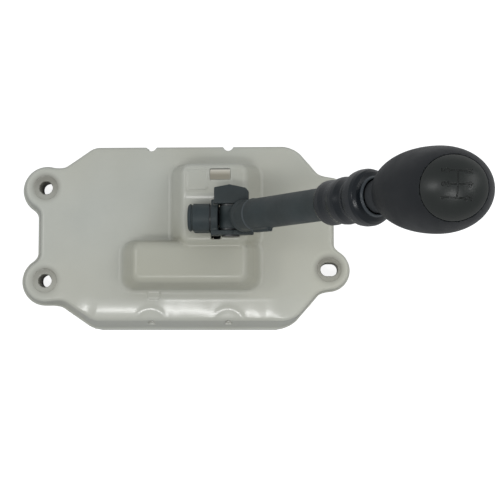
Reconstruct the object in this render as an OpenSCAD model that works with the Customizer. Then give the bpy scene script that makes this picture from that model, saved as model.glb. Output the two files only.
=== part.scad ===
// Floor-mounted gear-shift lever: moulded base with an L-shaped dome, select rocker,
// shift lever with a lift collar for reverse, and a bellcrank for the select cable.
// Millimetres. +X points to the rear of the car, +Y to its right side, +Z up.
// The origin lies midway between the two round front bolt holes, on the face that seats
// on the floor.

/* [Tray] */
// Height of the tray from its seat to its flat top
tray_h = 18; // [16:0.5:24]
// Half width of the tray
tray_half_w = 61.8; // [58:0.1:66]
// How far the foot of the left skirt stands out beyond the right one
left_flare = 5; // [4:0.5:6.5]
// How far the foot of the front skirt stands out beyond its top
front_flare = 4.6; // [3:0.1:6]
// How far the tray's front edge lies ahead of the front bolts
tray_front = 3.7; // [0:0.1:7]
// How far the tray's rear edge lies behind the rear bolts
tray_rear = 3; // [0:0.1:6]
// Wall thickness of the moulding
wall = 3; // [2.4:0.1:3.4]
// Radius of the tray's upper edge
edge_r = 5; // [3:0.5:6]
// How far the bottom lip stands out of the skirt
lip_out = 1; // [0.5:0.1:2]
// Height of the bottom lip
lip_h = 2; // [1.5:0.1:3]
// Radius of the half-round notches in the right edge
notch_r = 3.4; // [2.5:0.1:4]
// Radius of the blind notches in the left skirt
left_notch_r = 2.4; // [1.8:0.1:2.8]
// Height of the floor of the blind notches
left_notch_z = 4; // [3:0.5:6]
// Place of the front pair of notches
notch_front_x = 75; // [60:1:90]
// Distance between the two pairs of notches
notch_gap = 54.5; // [40:0.5:70]
// End of the long edge at its front corner
front_corner_x = 38; // [30:1:45]
// How far the long edge's rear end lies ahead of the rear bolts
rear_corner_back = 33; // [25:0.2:40]
// Place of the front cross rib
rib_front_x = 25; // [18:1:40]
// How far the rear cross rib lies ahead of the rear bolts
rib_rear_back = 23.4; // [18:0.2:32]
// Height of the stiffening ribs below the top
rib_h = 6; // [3:0.5:8]
// Thickness of the ribs
rib_t = 2.2; // [1.6:0.1:3]

/* [Lugs] */
// Outer radius of a rear lug
lug_r = 14.2; // [13:0.1:16]
// Outer radius of a front lug
front_lug_r = 15; // [14:0.1:16]
// Distance between the front and rear bolts
bolt_reach = 200.4; // [195:0.2:215]
// Spacing of the front lug holes
front_spacing = 66; // [62:0.5:70]
// Diameter of the front bolt holes
bolt_hole_d = 9.2; // [8:0.1:10]
// Spacing of the rear slots
rear_spacing = 51; // [49:0.5:54]
// Length of the rear slots
slot_len = 12; // [10.5:0.1:14]
// Diameter of the sunk seat round a hole
lug_seat_d = 17; // [16:0.5:21]
// Depth of the sunk seat
lug_seat_depth = 1; // [0.5:0.1:2]

/* [Dome] */
// Height of the upper box of the dome above the seat
dome_h = 46; // [44:0.5:48]
// Drop from the box's roof to the foot's roof
foot_drop = 3; // [2:0.5:4]
// Length of the foot's roof ahead of the box's roof
foot_len = 34; // [28:1:38]
// Radius of the dome's upper edges
dome_edge_r = 4; // [3.5:0.1:5]
// Radius of the dome's corners where it meets the tray
dome_corner_r = 8; // [6:0.5:10]
// Depth of the recess in the right end of the dome's roof
recess_depth = 1.2; // [0.6:0.1:2]

/* [Rocker] */
// Height of the rocker's axis above the dome's roof
axis_rise = 9; // [9:0.5:11]
// Sideways place of the lever's pivot
pivot_y = 7.4; // [6:0.1:9]
// Lengthwise place of the lever's pivot
pivot_x = 133.4; // [128:0.2:138]
// Radius of the bearing barrel and of the rocker's disc
barrel_r = 9.5; // [9.3:0.1:10]
// Length of the barrel
barrel_len = 11.5; // [11:0.5:14]
// Radius of the rocker's trunnion
trunnion_r = 5; // [4.5:0.1:5.2]
// Radial wall of the trunnion bushes
bush_wall = 1.5; // [1.2:0.1:1.8]
// Thickness of the rocker's disc
disc_t = 4.6; // [4:0.1:4.7]
// Thickness of the left cheek
cheek_t = 3; // [2.6:0.1:3.4]
// Width of the right block, from its inner face to its tip
block_w = 13; // [12:0.5:15]
// Length of the right block
block_len = 23; // [20:0.5:25]
// Depth of the select ball below the axis
select_drop = 30; // [29.5:0.1:31]
// Radius of the select ball
select_ball_r = 4; // [3.5:0.1:4.2]

/* [Lever] */
// Lean of the lever from the vertical in neutral, in degrees
lever_lean = 37; // [34:0.5:40]
// Radius of the steel rod
rod_r = 5.5; // [5:0.1:5.8]
// Radius of the pivot hub
hub_r = 7.9; // [7.4:0.1:8]
// Width of the pivot hub
hub_w = 15; // [14.5:0.1:15.5]
// Radius of the cross pin
cross_pin_r = 4; // [3.5:0.1:4.4]
// Radial wall of the pivot bushes
pivot_bush_wall = 1.6; // [1.2:0.1:2]
// Radius of the lower arm
arm_r = 4; // [3.5:0.1:4]
// Depth of the shift ball below the pivot
shift_drop = 37; // [35:0.5:38]
// Sideways reach of the shift ball from the lever's middle
shift_reach = 14; // [13:0.5:16]
// Radius of the cable balls
cable_ball_r = 5; // [4:0.5:5]

/* [Lift sleeve] */
// Start of the tube above the pivot, along the lever
tube_start = 14.5; // [14:0.1:15]
// End of the tube above the pivot
tube_end = 111; // [105:0.5:115]
// Outer radius of the tube at its lower end
tube_r_low = 10.2; // [10:0.1:10.6]
// Outer radius of the tube at its upper end
tube_r_high = 10; // [9.6:0.1:10.2]
// Travel of the sleeve
lift_travel = 8; // [6:0.5:9]
// Radius of the collar's beads
bead_r = 13.6; // [13.2:0.1:14.5]
// Radius of the collar's upper flange
flange_r = 16.6; // [15.5:0.1:18]
// Height of the collar
collar_h = 43.5; // [42:0.5:46]
// Wire radius of the return spring
lift_wire_r = 0.7; // [0.5:0.05:0.8]
// Turns of the return spring
lift_turns = 7; // [5:1:9]

/* [Knob] */
// Height of the knob's widest place above the collar
knob_rise = 47; // [44:0.1:55]
// Radius of the knob at its widest
knob_r = 23.3; // [21:0.1:25]
// Length of the egg below its widest point
knob_low_len = 44; // [42:0.5:47]
// Length of the egg above its widest point
knob_top_len = 36.5; // [35:0.5:39]
// Lean of the knob towards the driver, in degrees
knob_tilt = 4.7; // [3:0.1:6]
// Radius of the knob's neck
neck_r = 9; // [8.6:0.1:9.2]
// Lean of the cap back from the lever's axis, in degrees
cap_tilt = 33; // [28:1:36]
// Distance of the cap's rim from the middle of the knob
cap_dist = 20.8; // [20:0.1:22.5]
// Radius of the spigot that holds the cap
cap_spigot_r = 12; // [10:0.1:13]
// Shift of the spigot from the knob's axis towards the driver
cap_shift = 5; // [4:0.1:7]

/* [Bellcrank] */
// Radius of the bellcrank's pin
crank_pin_r = 4; // [3.5:0.1:4.2]
// Length of the input arm
crank_in = 18; // [17.5:0.1:18.2]
// Length of the output arm
crank_out = 22; // [21:0.5:23]
// Wire radius of the centring spring
centring_wire_r = 0.6; // [0.4:0.05:0.65]

/* [Clearances] */
// Radial gap of a turning or sliding fit
running_gap = 0.04; // [0.02:0.01:0.08]
// Radial gap of a part that is pressed in
press_gap = 0.02; // [0.01:0.01:0.03]
// Gap between parts that move past each other
free_gap = 0.3; // [0.2:0.05:0.4]

/* [Hidden] */

$fn = 64;
eps = 0.01;
arc_steps = 5;
lug_steps = 12;
blend_small = 6;
blend_big = 10;
rear_corner_r = 18;
rear_corner_turn = 40.7;
front_corner_r = 12;
front_corner_turn = 124.5;
front_lug = [0, front_spacing / 2];
rear_lug = [bolt_reach, rear_spacing / 2];
rear_corner_x = bolt_reach - rear_corner_back;
foot_h = dome_h - foot_drop;
roof_z = dome_h - wall;
axis_z = dome_h + axis_rise;
bush_r = trunnion_r + bush_wall;
bush_flange_t = 0.7;
side_gap = 0.1;
disc_x = pivot_x - hub_r - 0.5 - disc_t;
barrel_end = disc_x - bush_flange_t - side_gap;
barrel_front = barrel_end - barrel_len;
cheek_gap = 0.2;
pivot_flange_t = 1.1;
cheek_y = pivot_y - hub_w / 2 - pivot_flange_t - cheek_gap;
block_y = pivot_y + hub_w / 2 + pivot_flange_t + cheek_gap;
box_top_low = [barrel_front - 6, pivot_y - 13.4];
box_top_high = [pivot_x + 7.7, pivot_y + 34.6];
box_low = box_top_low - [13, 4];
box_high = box_top_high + [11.5, 6.6];
crank_x = box_top_low[0] + 7;
crank_y = box_top_low[1] - 1;
foot_top_low = [box_top_low[0] - foot_len, crank_y - crank_out - 3];
foot_top_high = [box_top_high[0], box_top_low[1] - 5];
foot_low = foot_top_low - [14, 8];
foot_high = [box_high[0], foot_top_high[1] + 6];
crank_ball_x = crank_x + crank_in;
select_z = axis_z - select_drop;
crank_t = 5;
crank_z = select_z - crank_t / 2;
crank_hub_h = 7.4;
crank_hub_r = 2 * crank_pin_r;
crank_boss_z = crank_z + crank_hub_h + 0.1;
crank_boss_r = crank_pin_r + 2.3;
crank_ball_z = crank_z - 7.5;
circlip_t = 0.9;
washer_t = 0.8;
stop_seat = tube_end + 2;
collar_start = tube_end - 6.5;
collar_end = collar_start + collar_h;
neck_start = collar_end - 0.8;
knob_dist = collar_end + knob_rise;
rod_end = knob_dist + cap_dist - 9;
insert_start = knob_dist - 0.7 * knob_low_len;
insert_len = rod_end + 2 - insert_start;
insert_r = rod_r + 2.5;
pin_end = block_y + 0.66 * block_w;
spring_top = neck_start - 1.7;

// ---- helpers ----

// Points of an arc round a centre, from one angle to another
function arc(centre, r, from, to, steps) =
    [for (i = [0:steps]) centre + r * [cos(from + (to - from) * i / steps), sin(from + (to - from) * i / steps)]];

function angle_of(v) = atan2(v[1], v[0]);

// Centre of a blend that touches a lug from outside and a straight edge whose outward
// normal has the given angle and lies at the given distance from the origin
function blend_centre(lug, lug_radius, turn, dist, r, side) =
    let (n = [cos(turn), sin(turn)])
    let (t = [-sin(turn), cos(turn)])
    let (along = dist + r - lug * n)
    lug + along * n + side * sqrt(pow(lug_radius + r, 2) - along * along) * t;

// Distance from the origin of an edge that touches a corner arc
function edge_dist(centre, r, turn) = centre * [cos(turn), sin(turn)] + r;

// How far a skirt that stands out by the given amount at its foot does so at a height
function flare(foot, z) = foot * max(0, 1 - z / (tray_h - edge_r));

// Right half of the tray's outline, drawn in by the given amount; out is how far the
// long edge stands out and ahead how far the front does
function half_outline(inset, out, ahead) =
    let (half_w = tray_half_w + out)
    let (front_r = front_lug_r + ahead)
    let (rear_c = [rear_corner_x, half_w - rear_corner_r])
    let (front_x = front_corner_x + (ahead - sin(front_corner_turn) * out) / cos(front_corner_turn))
    let (front_c = [front_x, half_w - front_corner_r])
    let (rear_edge = edge_dist(rear_c, rear_corner_r, rear_corner_turn))
    let (front_edge = edge_dist(front_c, front_corner_r, front_corner_turn))
    let (a = blend_centre(rear_lug, lug_r, 0, bolt_reach + tray_rear, blend_small, -1))
    let (b = blend_centre(rear_lug, lug_r, rear_corner_turn, rear_edge, blend_big, 1))
    let (c = blend_centre(front_lug, front_r, front_corner_turn, front_edge, blend_big, -1))
    let (d = blend_centre(front_lug, front_r, 180, tray_front + ahead, blend_small, 1))
    concat(
        arc(a, blend_small + inset, 180, angle_of(rear_lug - a), arc_steps),
        arc(rear_lug, lug_r - inset, angle_of(a - rear_lug), angle_of(b - rear_lug), lug_steps),
        arc(b, blend_big + inset, 360 + angle_of(rear_lug - b), rear_corner_turn + 180, arc_steps),
        arc(rear_c, rear_corner_r - inset, rear_corner_turn, 90, arc_steps),
        arc(front_c, front_corner_r - inset, 90, front_corner_turn, arc_steps),
        arc(c, blend_big + inset, front_corner_turn + 180, 360 + angle_of(front_lug - c), arc_steps),
        arc(front_lug, front_r - inset, angle_of(c - front_lug), 360 + angle_of(d - front_lug), lug_steps),
        arc(d, blend_small + inset, angle_of(front_lug - d), 0, arc_steps)
    );

function mirrored(points) = [for (i = [len(points) - 1:-1:0]) [points[i][0], -points[i][1]]];

// Outline of the tray at a height
function tray_outline(inset, z) =
    let (ahead = flare(front_flare, z))
    concat(half_outline(inset, 0, ahead), mirrored(half_outline(inset, flare(left_flare, z), ahead)));

function tray_ring(inset, z) = [for (q = tray_outline(inset, z)) [q[0], q[1], z]];

// Rings of the tray's skin: [height, inset]
function tray_profile() = concat(
    [[0, -lip_out], [lip_h, -lip_out], [lip_h + 0.8, -0.3]],
    [for (i = [0:5]) [tray_h - edge_r + edge_r * sin(18 * i), edge_r * (1 - cos(18 * i))]]
);

// Closed solid through rings of equal point counts, capped about the tray's middle
module skin(rings) {
    count = len(rings[0]);
    last = len(rings) - 1;
    middle = (last + 1) * count;
    centre = bolt_reach / 2;
    points = concat([for (ring = rings) each ring], [[centre, 0, rings[0][0][2]], [centre, 0, rings[last][0][2]]]);
    sides = [for (r = [0:last - 1], i = [0:count - 1])
        let (j = (i + 1) % count)
        each [[r * count + i, (r + 1) * count + i, (r + 1) * count + j],
              [r * count + i, (r + 1) * count + j, r * count + j]]];
    bottom = [for (i = [0:count - 1]) [middle, i, (i + 1) % count]];
    top = [for (i = [0:count - 1]) [middle + 1, last * count + (i + 1) % count, last * count + i]];
    polyhedron(points, concat(sides, bottom, top), convexity = 6);
}

// Box with leaning walls, rounded at its top edges and its upright corners
module domed_box(low, high, top_low, top_high, h, edge) {
    hull() {
        for (x = [low[0] + dome_corner_r, high[0] - dome_corner_r], y = [low[1] + dome_corner_r, high[1] - dome_corner_r])
            translate([x, y, tray_h - 0.5])
                cylinder(r = dome_corner_r, h = 0.5, $fn = 32);
        for (x = [top_low[0], top_high[0]], y = [top_low[1], top_high[1]])
            translate([x, y, h - edge])
                sphere(r = edge, $fn = 24);
    }
}

// Hollow below a domed box
module box_hollow(low, high, top_low, top_high, h, edge) {
    grow = edge - wall;
    hull() {
        translate([low[0] + wall, low[1] + wall, tray_h - wall - 1])
            cube([high[0] - low[0] - 2 * wall, high[1] - low[1] - 2 * wall, 1]);
        translate([top_low[0] - grow, top_low[1] - grow, h - wall - 1])
            cube([top_high[0] - top_low[0] + 2 * grow, top_high[1] - top_low[1] + 2 * grow, 1]);
    }
}

// Places children in the lever's own frame: pivot at the origin, lever along +Z
module on_lever() {
    translate([pivot_x, pivot_y, axis_z])
        rotate([0, lever_lean, 0])
            children();
}

// Cylinder along +X from the given place on the rocker's axis
module along_x(x, r, h) {
    translate([x, pivot_y, axis_z])
        rotate([0, 90, 0])
            cylinder(r = r, h = h);
}

// Cylinder along +Y through the given point
module along_y(x, y, z, r, h) {
    translate([x, y, z])
        rotate([-90, 0, 0])
            cylinder(r = r, h = h);
}

module ring(r_in, r_out, h) {
    difference() {
        cylinder(r = r_out, h = h);
        translate([0, 0, -1])
            cylinder(r = r_in, h = h + 2);
    }
}

// Snap ring with an open end
module snap_ring(r_in, r_out, h) {
    difference() {
        ring(r_in, r_out, h);
        translate([0, -r_in * 0.5, -1])
            cube([r_out + 1, r_in, h + 2]);
    }
}

// Plain bush with a flange at its lower end
module flanged_bush(r_in, r_out, h, flange_r, flange_t) {
    difference() {
        union() {
            translate([0, 0, -flange_t])
                cylinder(r = r_out, h = h + flange_t);
            translate([0, 0, -flange_t])
                cylinder(r = flange_r, h = flange_t);
        }
        translate([0, 0, -flange_t - 1])
            cylinder(r = r_in, h = h + flange_t + 2);
    }
}

// Round wire swept along a path of points
module wire(path, r) {
    sides = 6;
    last = len(path) - 1;
    rings = [for (i = [0:last])
        let (ahead = path[min(i + 1, last)] - path[max(i - 1, 0)])
        let (dir = ahead / norm(ahead))
        let (u = cross([0, 0, 1], dir))
        let (side = norm(u) < 0.01 ? [1, 0, 0] : u / norm(u))
        let (up = cross(dir, side))
        [for (k = [0:sides - 1]) path[i] + r * (cos(k * 60) * side + sin(k * 60) * up)]];
    points = [for (ring = rings) each ring];
    walls = [for (i = [0:last - 1], k = [0:sides - 1])
        let (n = (k + 1) % sides)
        each [[i * sides + k, i * sides + n, (i + 1) * sides + n],
              [i * sides + k, (i + 1) * sides + n, (i + 1) * sides + k]]];
    low = [for (k = [1:sides - 2]) [0, k + 1, k]];
    high = [for (k = [1:sides - 2]) [last * sides, last * sides + k, last * sides + k + 1]];
    polyhedron(points, concat(walls, low, high), convexity = 8);
}

// Helix round Z with 8 points a turn
function helix(r, pitch, turns, start) =
    [for (i = [0:turns * 8]) [r * cos(start + i * 45), r * sin(start + i * 45), pitch * i / 8]];

// ---- base ----

module lug_holes() {
    for (side = [-1, 1]) {
        translate([0, side * front_spacing / 2, -1])
            cylinder(d = bolt_hole_d, h = tray_h + 2);
        translate([0, side * front_spacing / 2, tray_h - lug_seat_depth])
            cylinder(d = lug_seat_d, h = lug_seat_depth + 1);
        for (end = [-1, 1])
            translate([bolt_reach + end * (slot_len - bolt_hole_d) / 2, side * rear_spacing / 2, -1])
                cylinder(d = bolt_hole_d, h = tray_h + 2);
        translate([bolt_reach - (slot_len - bolt_hole_d) / 2, side * rear_spacing / 2 - bolt_hole_d / 2, -1])
            cube([slot_len - bolt_hole_d, bolt_hole_d, tray_h + 2]);
        translate([bolt_reach, side * rear_spacing / 2, tray_h - lug_seat_depth])
            cylinder(d = lug_seat_d, h = lug_seat_depth + 1);
    }
}

module at_notches() {
    for (x = [notch_front_x, notch_front_x + notch_gap]) {
        translate([x, tray_half_w + 0.4, -1])
            children(0);
        translate([x, -tray_half_w - 1.5, -1])
            children(1);
    }
}

module tray_cavity() {
    tower_in = wall - 0.3;
    difference() {
        skin([for (z = [-1, tray_h - edge_r, tray_h - wall]) tray_ring(wall, z)]);
        for (side = [-1, 1]) {
            translate([0, side * front_spacing / 2, -2])
                cylinder(r = front_lug_r - tower_in, h = tray_h + 2);
            translate([bolt_reach, side * rear_spacing / 2, -2])
                cylinder(r = lug_r - tower_in, h = tray_h + 2);
        }
        at_notches() {
            cylinder(r = notch_r + wall, h = tray_h + 2);
            cylinder(r = left_notch_r + wall, h = tray_h + 2);
        }
    }
}

// Ribs below the tray's top, clear of the dome's hollow
module tray_ribs() {
    z = tray_h - wall - rib_h;
    h = rib_h + eps;
    reach = tray_half_w - wall + 1;
    left_reach = reach + flare(left_flare, z) / 2;
    front = foot_low[0] + tray_front - 1;
    rear = bolt_reach + tray_rear - box_high[0] - 1;
    for (side = [-1, 1]) {
        translate([1 - tray_front, side * 24 - rib_t / 2, z])
            cube([front, rib_t, h]);
        translate([box_high[0], side * 16 - rib_t / 2, z])
            cube([rear, rib_t, h]);
    }
    for (x = [rib_front_x, bolt_reach - rib_rear_back])
        translate([x - rib_t / 2, -46, z])
            cube([rib_t, 92, h]);
    for (x = [notch_front_x + 14, notch_front_x + notch_gap - 14]) {
        translate([x - rib_t / 2, box_high[1], z])
            cube([rib_t, reach - box_high[1], h]);
        translate([x - rib_t / 2, -left_reach, z])
            cube([rib_t, left_reach + foot_low[1], h]);
    }
}

module roof_details() {
    field = [box_top_low[0], box_top_high[1] - 15.5];
    pad_w = 13.9;
    // Sunk field at the right end of the roof with a raised pad
    difference() {
        translate([field[0], field[1], dome_h - recess_depth])
            cube([31.2, 16.2, recess_depth + 1]);
        translate([field[0] + 0.8, field[1] + 1.5, dome_h - recess_depth - 1])
            cube([pad_w, 13.4, recess_depth + 1]);
    }
    // Slot beside the pad
    translate([field[0] + pad_w + 2.6, field[1] + 8.3, roof_z - 1])
        cube([13.8, 7, wall + 2]);
    // Opening below the rocker
    translate([barrel_end, pivot_y - 13.5, roof_z - 1])
        cube([pivot_x + 7.5 - barrel_end, 23.5, wall + 2]);
}

module base_housing() {
    color([0.86, 0.86, 0.83])
    difference() {
        union() {
            difference() {
                union() {
                    skin([for (p = tray_profile()) tray_ring(p[1], p[0])]);
                    domed_box(box_low, box_high, box_top_low, box_top_high, dome_h, dome_edge_r);
                    domed_box(foot_low, foot_high, foot_top_low, foot_top_high, foot_h, dome_edge_r);
                }
                tray_cavity();
                box_hollow(box_low, box_high, box_top_low, box_top_high, dome_h, dome_edge_r);
                box_hollow(foot_low, foot_high, foot_top_low, foot_top_high, foot_h, dome_edge_r);
                // Way between the two hollows
                translate([box_top_low[0] - 2.6, foot_top_high[1] - 8, tray_h - wall - 1])
                    cube([box_top_high[0] - box_top_low[0] + 4.6, 24, foot_h - tray_h + 1]);
            }
            tray_ribs();
            // Boss of the bellcrank's pin
            translate([crank_x, crank_y, crank_boss_z])
                cylinder(r = crank_boss_r, h = foot_h - 1 - crank_boss_z);
            // Tab that holds the legs of the centring spring
            translate([crank_x - centring_tab_w / 2, crank_y - 14, crank_boss_z + 0.5])
                cube([centring_tab_w, 2.5, foot_h - 1.5 - crank_boss_z]);
        }
        lug_holes();
        at_notches() {
            cylinder(r = notch_r, h = tray_h + 2);
            translate([0, 0, left_notch_z + 1])
                cylinder(r = left_notch_r, h = tray_h);
        }
        roof_details();
        barrel_screw_holes(clearance = true);
        translate([crank_x, crank_y, crank_boss_z - 1])
            cylinder(r = crank_pin_r + press_gap, h = 9.5);
    }
}

// ---- bearing barrel ----

screw_y = 6.9;
screw_x = barrel_end - 3.5;
screw_r = 1.7;
screw_head_r = 3.2;
screw_depth = 4.3;

module at_barrel_screws() {
    for (side = [-1, 1])
        translate([screw_x, pivot_y + side * screw_y, 0])
            children();
}

// Holes for the barrel's screws: clear in the roof, tight in the barrel
module barrel_screw_holes(clearance) {
    at_barrel_screws() {
        translate([0, 0, roof_z - 1])
            cylinder(r = screw_r + (clearance ? free_gap : press_gap), h = wall + 1 + screw_depth + free_gap);
        if (clearance)
            translate([0, 0, roof_z - 20])
                cylinder(r = screw_head_r + free_gap, h = 20);
    }
}

module bearing_barrel() {
    foot_w = 2 * barrel_r + 0.2;
    foot_t = 5;
    color([0.17, 0.18, 0.19])
    difference() {
        union() {
            intersection() {
                along_x(barrel_front, barrel_r, barrel_len);
                translate([barrel_front, pivot_y - barrel_r - 1, dome_h])
                    cube([barrel_len, 2 * barrel_r + 2, 3 * barrel_r]);
            }
            translate([barrel_front, pivot_y - foot_w / 2, dome_h])
                cube([barrel_len, foot_w, foot_t]);
        }
        along_x(barrel_front - 1, bush_r, barrel_len + 2);
        along_x(barrel_front - 1, bush_r + 2, 4.5);
        barrel_screw_holes(clearance = false);
    }
}

module barrel_cap() {
    crown = 3.4;
    rim = 8.5 - press_gap;
    bulge = [for (i = [0:6]) [barrel_r - crown + crown * cos(15 * i), -crown * sin(15 * i)]];
    color([0.17, 0.18, 0.19])
    difference() {
        translate([barrel_front, pivot_y, axis_z])
            rotate([0, 90, 0])
                difference() {
                    union() {
                        rotate_extrude()
                            polygon(concat([[0, 0]], bulge, [[0, -crown]]));
                        translate([0, 0, -eps])
                            cylinder(r = rim, h = 1);
                    }
                    translate([0, 0, -1])
                        cylinder(r = bush_r + 0.6, h = 3);
                }
        translate([barrel_front - 10, pivot_y - barrel_r - 1, dome_h - 10])
            cube([12, 2 * barrel_r + 2, 10]);
    }
}

module barrel_bush_front() {
    color([0.82, 0.8, 0.72])
    translate([barrel_front + 3.5, pivot_y, axis_z])
        rotate([0, 90, 0])
            ring(trunnion_r + running_gap, bush_r - press_gap, 3.8);
}

module barrel_bush_rear() {
    color([0.82, 0.8, 0.72])
    translate([barrel_end, pivot_y, axis_z])
        rotate([0, -90, 0])
            flanged_bush(trunnion_r + running_gap, bush_r - press_gap, 3.8, bush_r + 2, bush_flange_t);
}

module barrel_screws() {
    color([0.6, 0.6, 0.6])
    at_barrel_screws() {
        translate([0, 0, roof_z])
            cylinder(r = screw_r, h = wall + screw_depth);
        difference() {
            translate([0, 0, roof_z - 2.2])
                cylinder(r = screw_head_r, h = 2.2);
            translate([0, 0, roof_z - 3])
                cylinder(r = 1.6, h = 2.2, $fn = 6);
        }
    }
}

// ---- bellcrank pin ----

pin_low = crank_z - 3.6;

module bellcrank_pin() {
    groove = pin_low + 0.7;
    color([0.7, 0.7, 0.7])
    difference() {
        translate([crank_x, crank_y, pin_low])
            cylinder(r = crank_pin_r, h = crank_boss_z + 8.3 - pin_low);
        translate([crank_x, crank_y, groove])
            ring(crank_pin_r - 0.6, crank_pin_r + 2, circlip_t + 0.1);
    }
}

module bellcrank_washer() {
    color([0.7, 0.7, 0.7])
    translate([crank_x, crank_y, crank_z - 1 - washer_t])
        ring(crank_pin_r + running_gap, crank_hub_r - 1, washer_t);
}

module bellcrank_circlip() {
    color([0.45, 0.45, 0.45])
    translate([crank_x, crank_y, pin_low + 0.75])
        snap_ring(crank_pin_r - 0.6 + press_gap, crank_pin_r + 2, circlip_t);
}

// ---- rocker ----

module rocker_yoke() {
    cheek_nose = 8;
    block_low = 4.5;
    block_h = 12;
    arm_x = disc_x + 0.2;
    arm_w = 4;
    jog_z = select_z + 6;
    color([0.2, 0.21, 0.22])
    difference() {
        union() {
            along_x(barrel_front + 0.4, trunnion_r, disc_x - barrel_front + 1);
            along_x(disc_x, barrel_r, disc_t);
            // Left cheek: plate with a nose that points up the lever
            translate([0, cheek_y, axis_z])
                rotate([90, 0, 0])
                    linear_extrude(cheek_t)
                        union() {
                            translate([pivot_x, 0])
                                circle(r = cheek_nose);
                            polygon([[disc_x, -5.6], [pivot_x, -6], [pivot_x + 8, -3], [pivot_x + 15.5, 0.5],
                                     [pivot_x + 15.2, 3], [pivot_x + 11.5, 7], [pivot_x + 5, 8], [disc_x, 5.6]]);
                        }
            // Right block with a roof-shaped end
            translate([pivot_x - block_len / 2 + 0.6, block_y, axis_z - block_low])
                linear_extrude(block_h)
                    polygon([[0, 0], [block_len, 0], [block_len, block_w - 4.5], [block_len - 2, block_w - 2.3],
                             [block_len * 0.45, block_w], [0, block_w - 2]]);
            // Bridges from the disc to the block and to the cheek
            translate([disc_x, block_y - 4, axis_z - 5])
                cube([disc_t, 7, 10]);
            translate([disc_x, cheek_y - cheek_t, axis_z - 5.6])
                cube([disc_t, cheek_t + 3, 11.2]);
            // Select arm, down through the roof and across to the ball
            translate([arm_x, pivot_y - 11.4, jog_z])
                cube([arm_w, 6, axis_z - jog_z - 3]);
            translate([arm_x, crank_y - 3, jog_z])
                cube([crank_ball_x - arm_x + 3, pivot_y - 5.4 - crank_y + 3, 5]);
        }
        // Groove for the snap ring
        translate([barrel_front + 1.35, pivot_y, axis_z])
            rotate([0, 90, 0])
                ring(trunnion_r - 0.5, trunnion_r + 3, circlip_t + 0.1);
        along_y(pivot_x, cheek_y - cheek_t - 1, axis_z, cross_pin_r + press_gap, pin_end + 1.5 - cheek_y + cheek_t);
        translate([crank_ball_x, crank_y, jog_z - 1])
            cylinder(r = 2.5 + press_gap, h = 5.3);
    }
}

module thrust_washer() {
    color([0.7, 0.7, 0.7])
    translate([barrel_front + 2.6, pivot_y, axis_z])
        rotate([0, 90, 0])
            ring(trunnion_r + running_gap, bush_r + 1.4, washer_t);
}

module rocker_circlip() {
    color([0.45, 0.45, 0.45])
    translate([barrel_front + 1.4, pivot_y, axis_z])
        rotate([0, 90, 0])
            snap_ring(trunnion_r - 0.5 + press_gap, trunnion_r + 2, circlip_t);
}

module cross_pin() {
    head_t = 1;
    color([0.7, 0.7, 0.7]) {
        along_y(pivot_x, cheek_y - cheek_t, axis_z, cross_pin_r, pin_end - cheek_y + cheek_t);
        along_y(pivot_x, cheek_y - cheek_t - head_t, axis_z, cross_pin_r + 2, head_t);
    }
}

module select_ball() {
    color([0.7, 0.7, 0.7])
    translate([crank_ball_x, crank_y, select_z]) {
        sphere(r = select_ball_r);
        cylinder(r = 2.5, h = 10);
    }
}

// ---- lever ----

pivot_bush_r = cross_pin_r + pivot_bush_wall;
socket_r = 7.2;
socket_end = 36;
eye_r = 6;
eye_w = 9.4;
stud_start = 4;

module lever_hub() {
    color([0.19, 0.2, 0.21])
    difference() {
        union() {
            along_y(pivot_x, pivot_y - hub_w / 2, axis_z, hub_r, hub_w);
            on_lever()
                cylinder(r = socket_r, h = socket_end);
            translate([pivot_x, pivot_y, axis_z - shift_drop])
                cylinder(r = arm_r, h = shift_drop);
            along_y(pivot_x, pivot_y - eye_w / 2, axis_z - shift_drop, eye_r, eye_w);
        }
        along_y(pivot_x, pivot_y - hub_w / 2 - 1, axis_z, pivot_bush_r + press_gap, hub_w + 2);
        on_lever()
            translate([0, 0, pivot_bush_r + 2])
                cylinder(r = rod_r + press_gap, h = socket_end);
        along_y(pivot_x, pivot_y - eye_w / 2 - 1, axis_z - shift_drop, 2.5 + press_gap, eye_w + 2);
    }
}

// Bush at one side of the hub: -1 left, 1 right
module pivot_bush(side) {
    color([0.82, 0.8, 0.72])
    translate([pivot_x, pivot_y + side * hub_w / 2, axis_z])
        rotate([90 * side, 0, 0])
            flanged_bush(cross_pin_r + running_gap, pivot_bush_r, hub_w / 2 - 0.4, hub_r - 0.5, pivot_flange_t);
}

module pivot_bush_left() {
    pivot_bush(-1);
}

module pivot_bush_right() {
    pivot_bush(1);
}

// Ball stud along +Z with its shank's end at the origin
module ball_stud(shank, ball_at) {
    cylinder(r = 2.5, h = ball_at);
    translate([0, 0, shank])
        cylinder(r = 4.2, h = 1.6);
    translate([0, 0, ball_at])
        sphere(r = cable_ball_r);
}

module shift_stud() {
    color([0.72, 0.72, 0.72])
    translate([pivot_x, pivot_y - stud_start, axis_z - shift_drop])
        rotate([-90, 0, 0])
            ball_stud(stud_start + eye_w / 2, stud_start + shift_reach);
}

module lever_rod() {
    color([0.65, 0.65, 0.66])
    on_lever()
        translate([0, 0, pivot_bush_r + 2.3])
            cylinder(r = rod_r, h = rod_end - pivot_bush_r - 2.3);
}

module spring_seat() {
    color([0.7, 0.7, 0.7])
    on_lever()
        translate([0, 0, spring_top])
            ring(rod_r + press_gap, neck_r + 0.2, 1.6);
}

module knob_insert() {
    color([0.75, 0.68, 0.45])
    on_lever()
        translate([0, 0, insert_start])
            ring(rod_r + press_gap, insert_r - press_gap, insert_len);
}

// Radius of the egg at a height above its middle
// and its lower half is a little fuller than an ellipse
function egg_r(z) =
    let (power = z < 0 ? 2.2 : 2)
    knob_r * pow(1 - pow(abs(z) / (z < 0 ? knob_low_len : knob_top_len), power), 1 / power);

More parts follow.
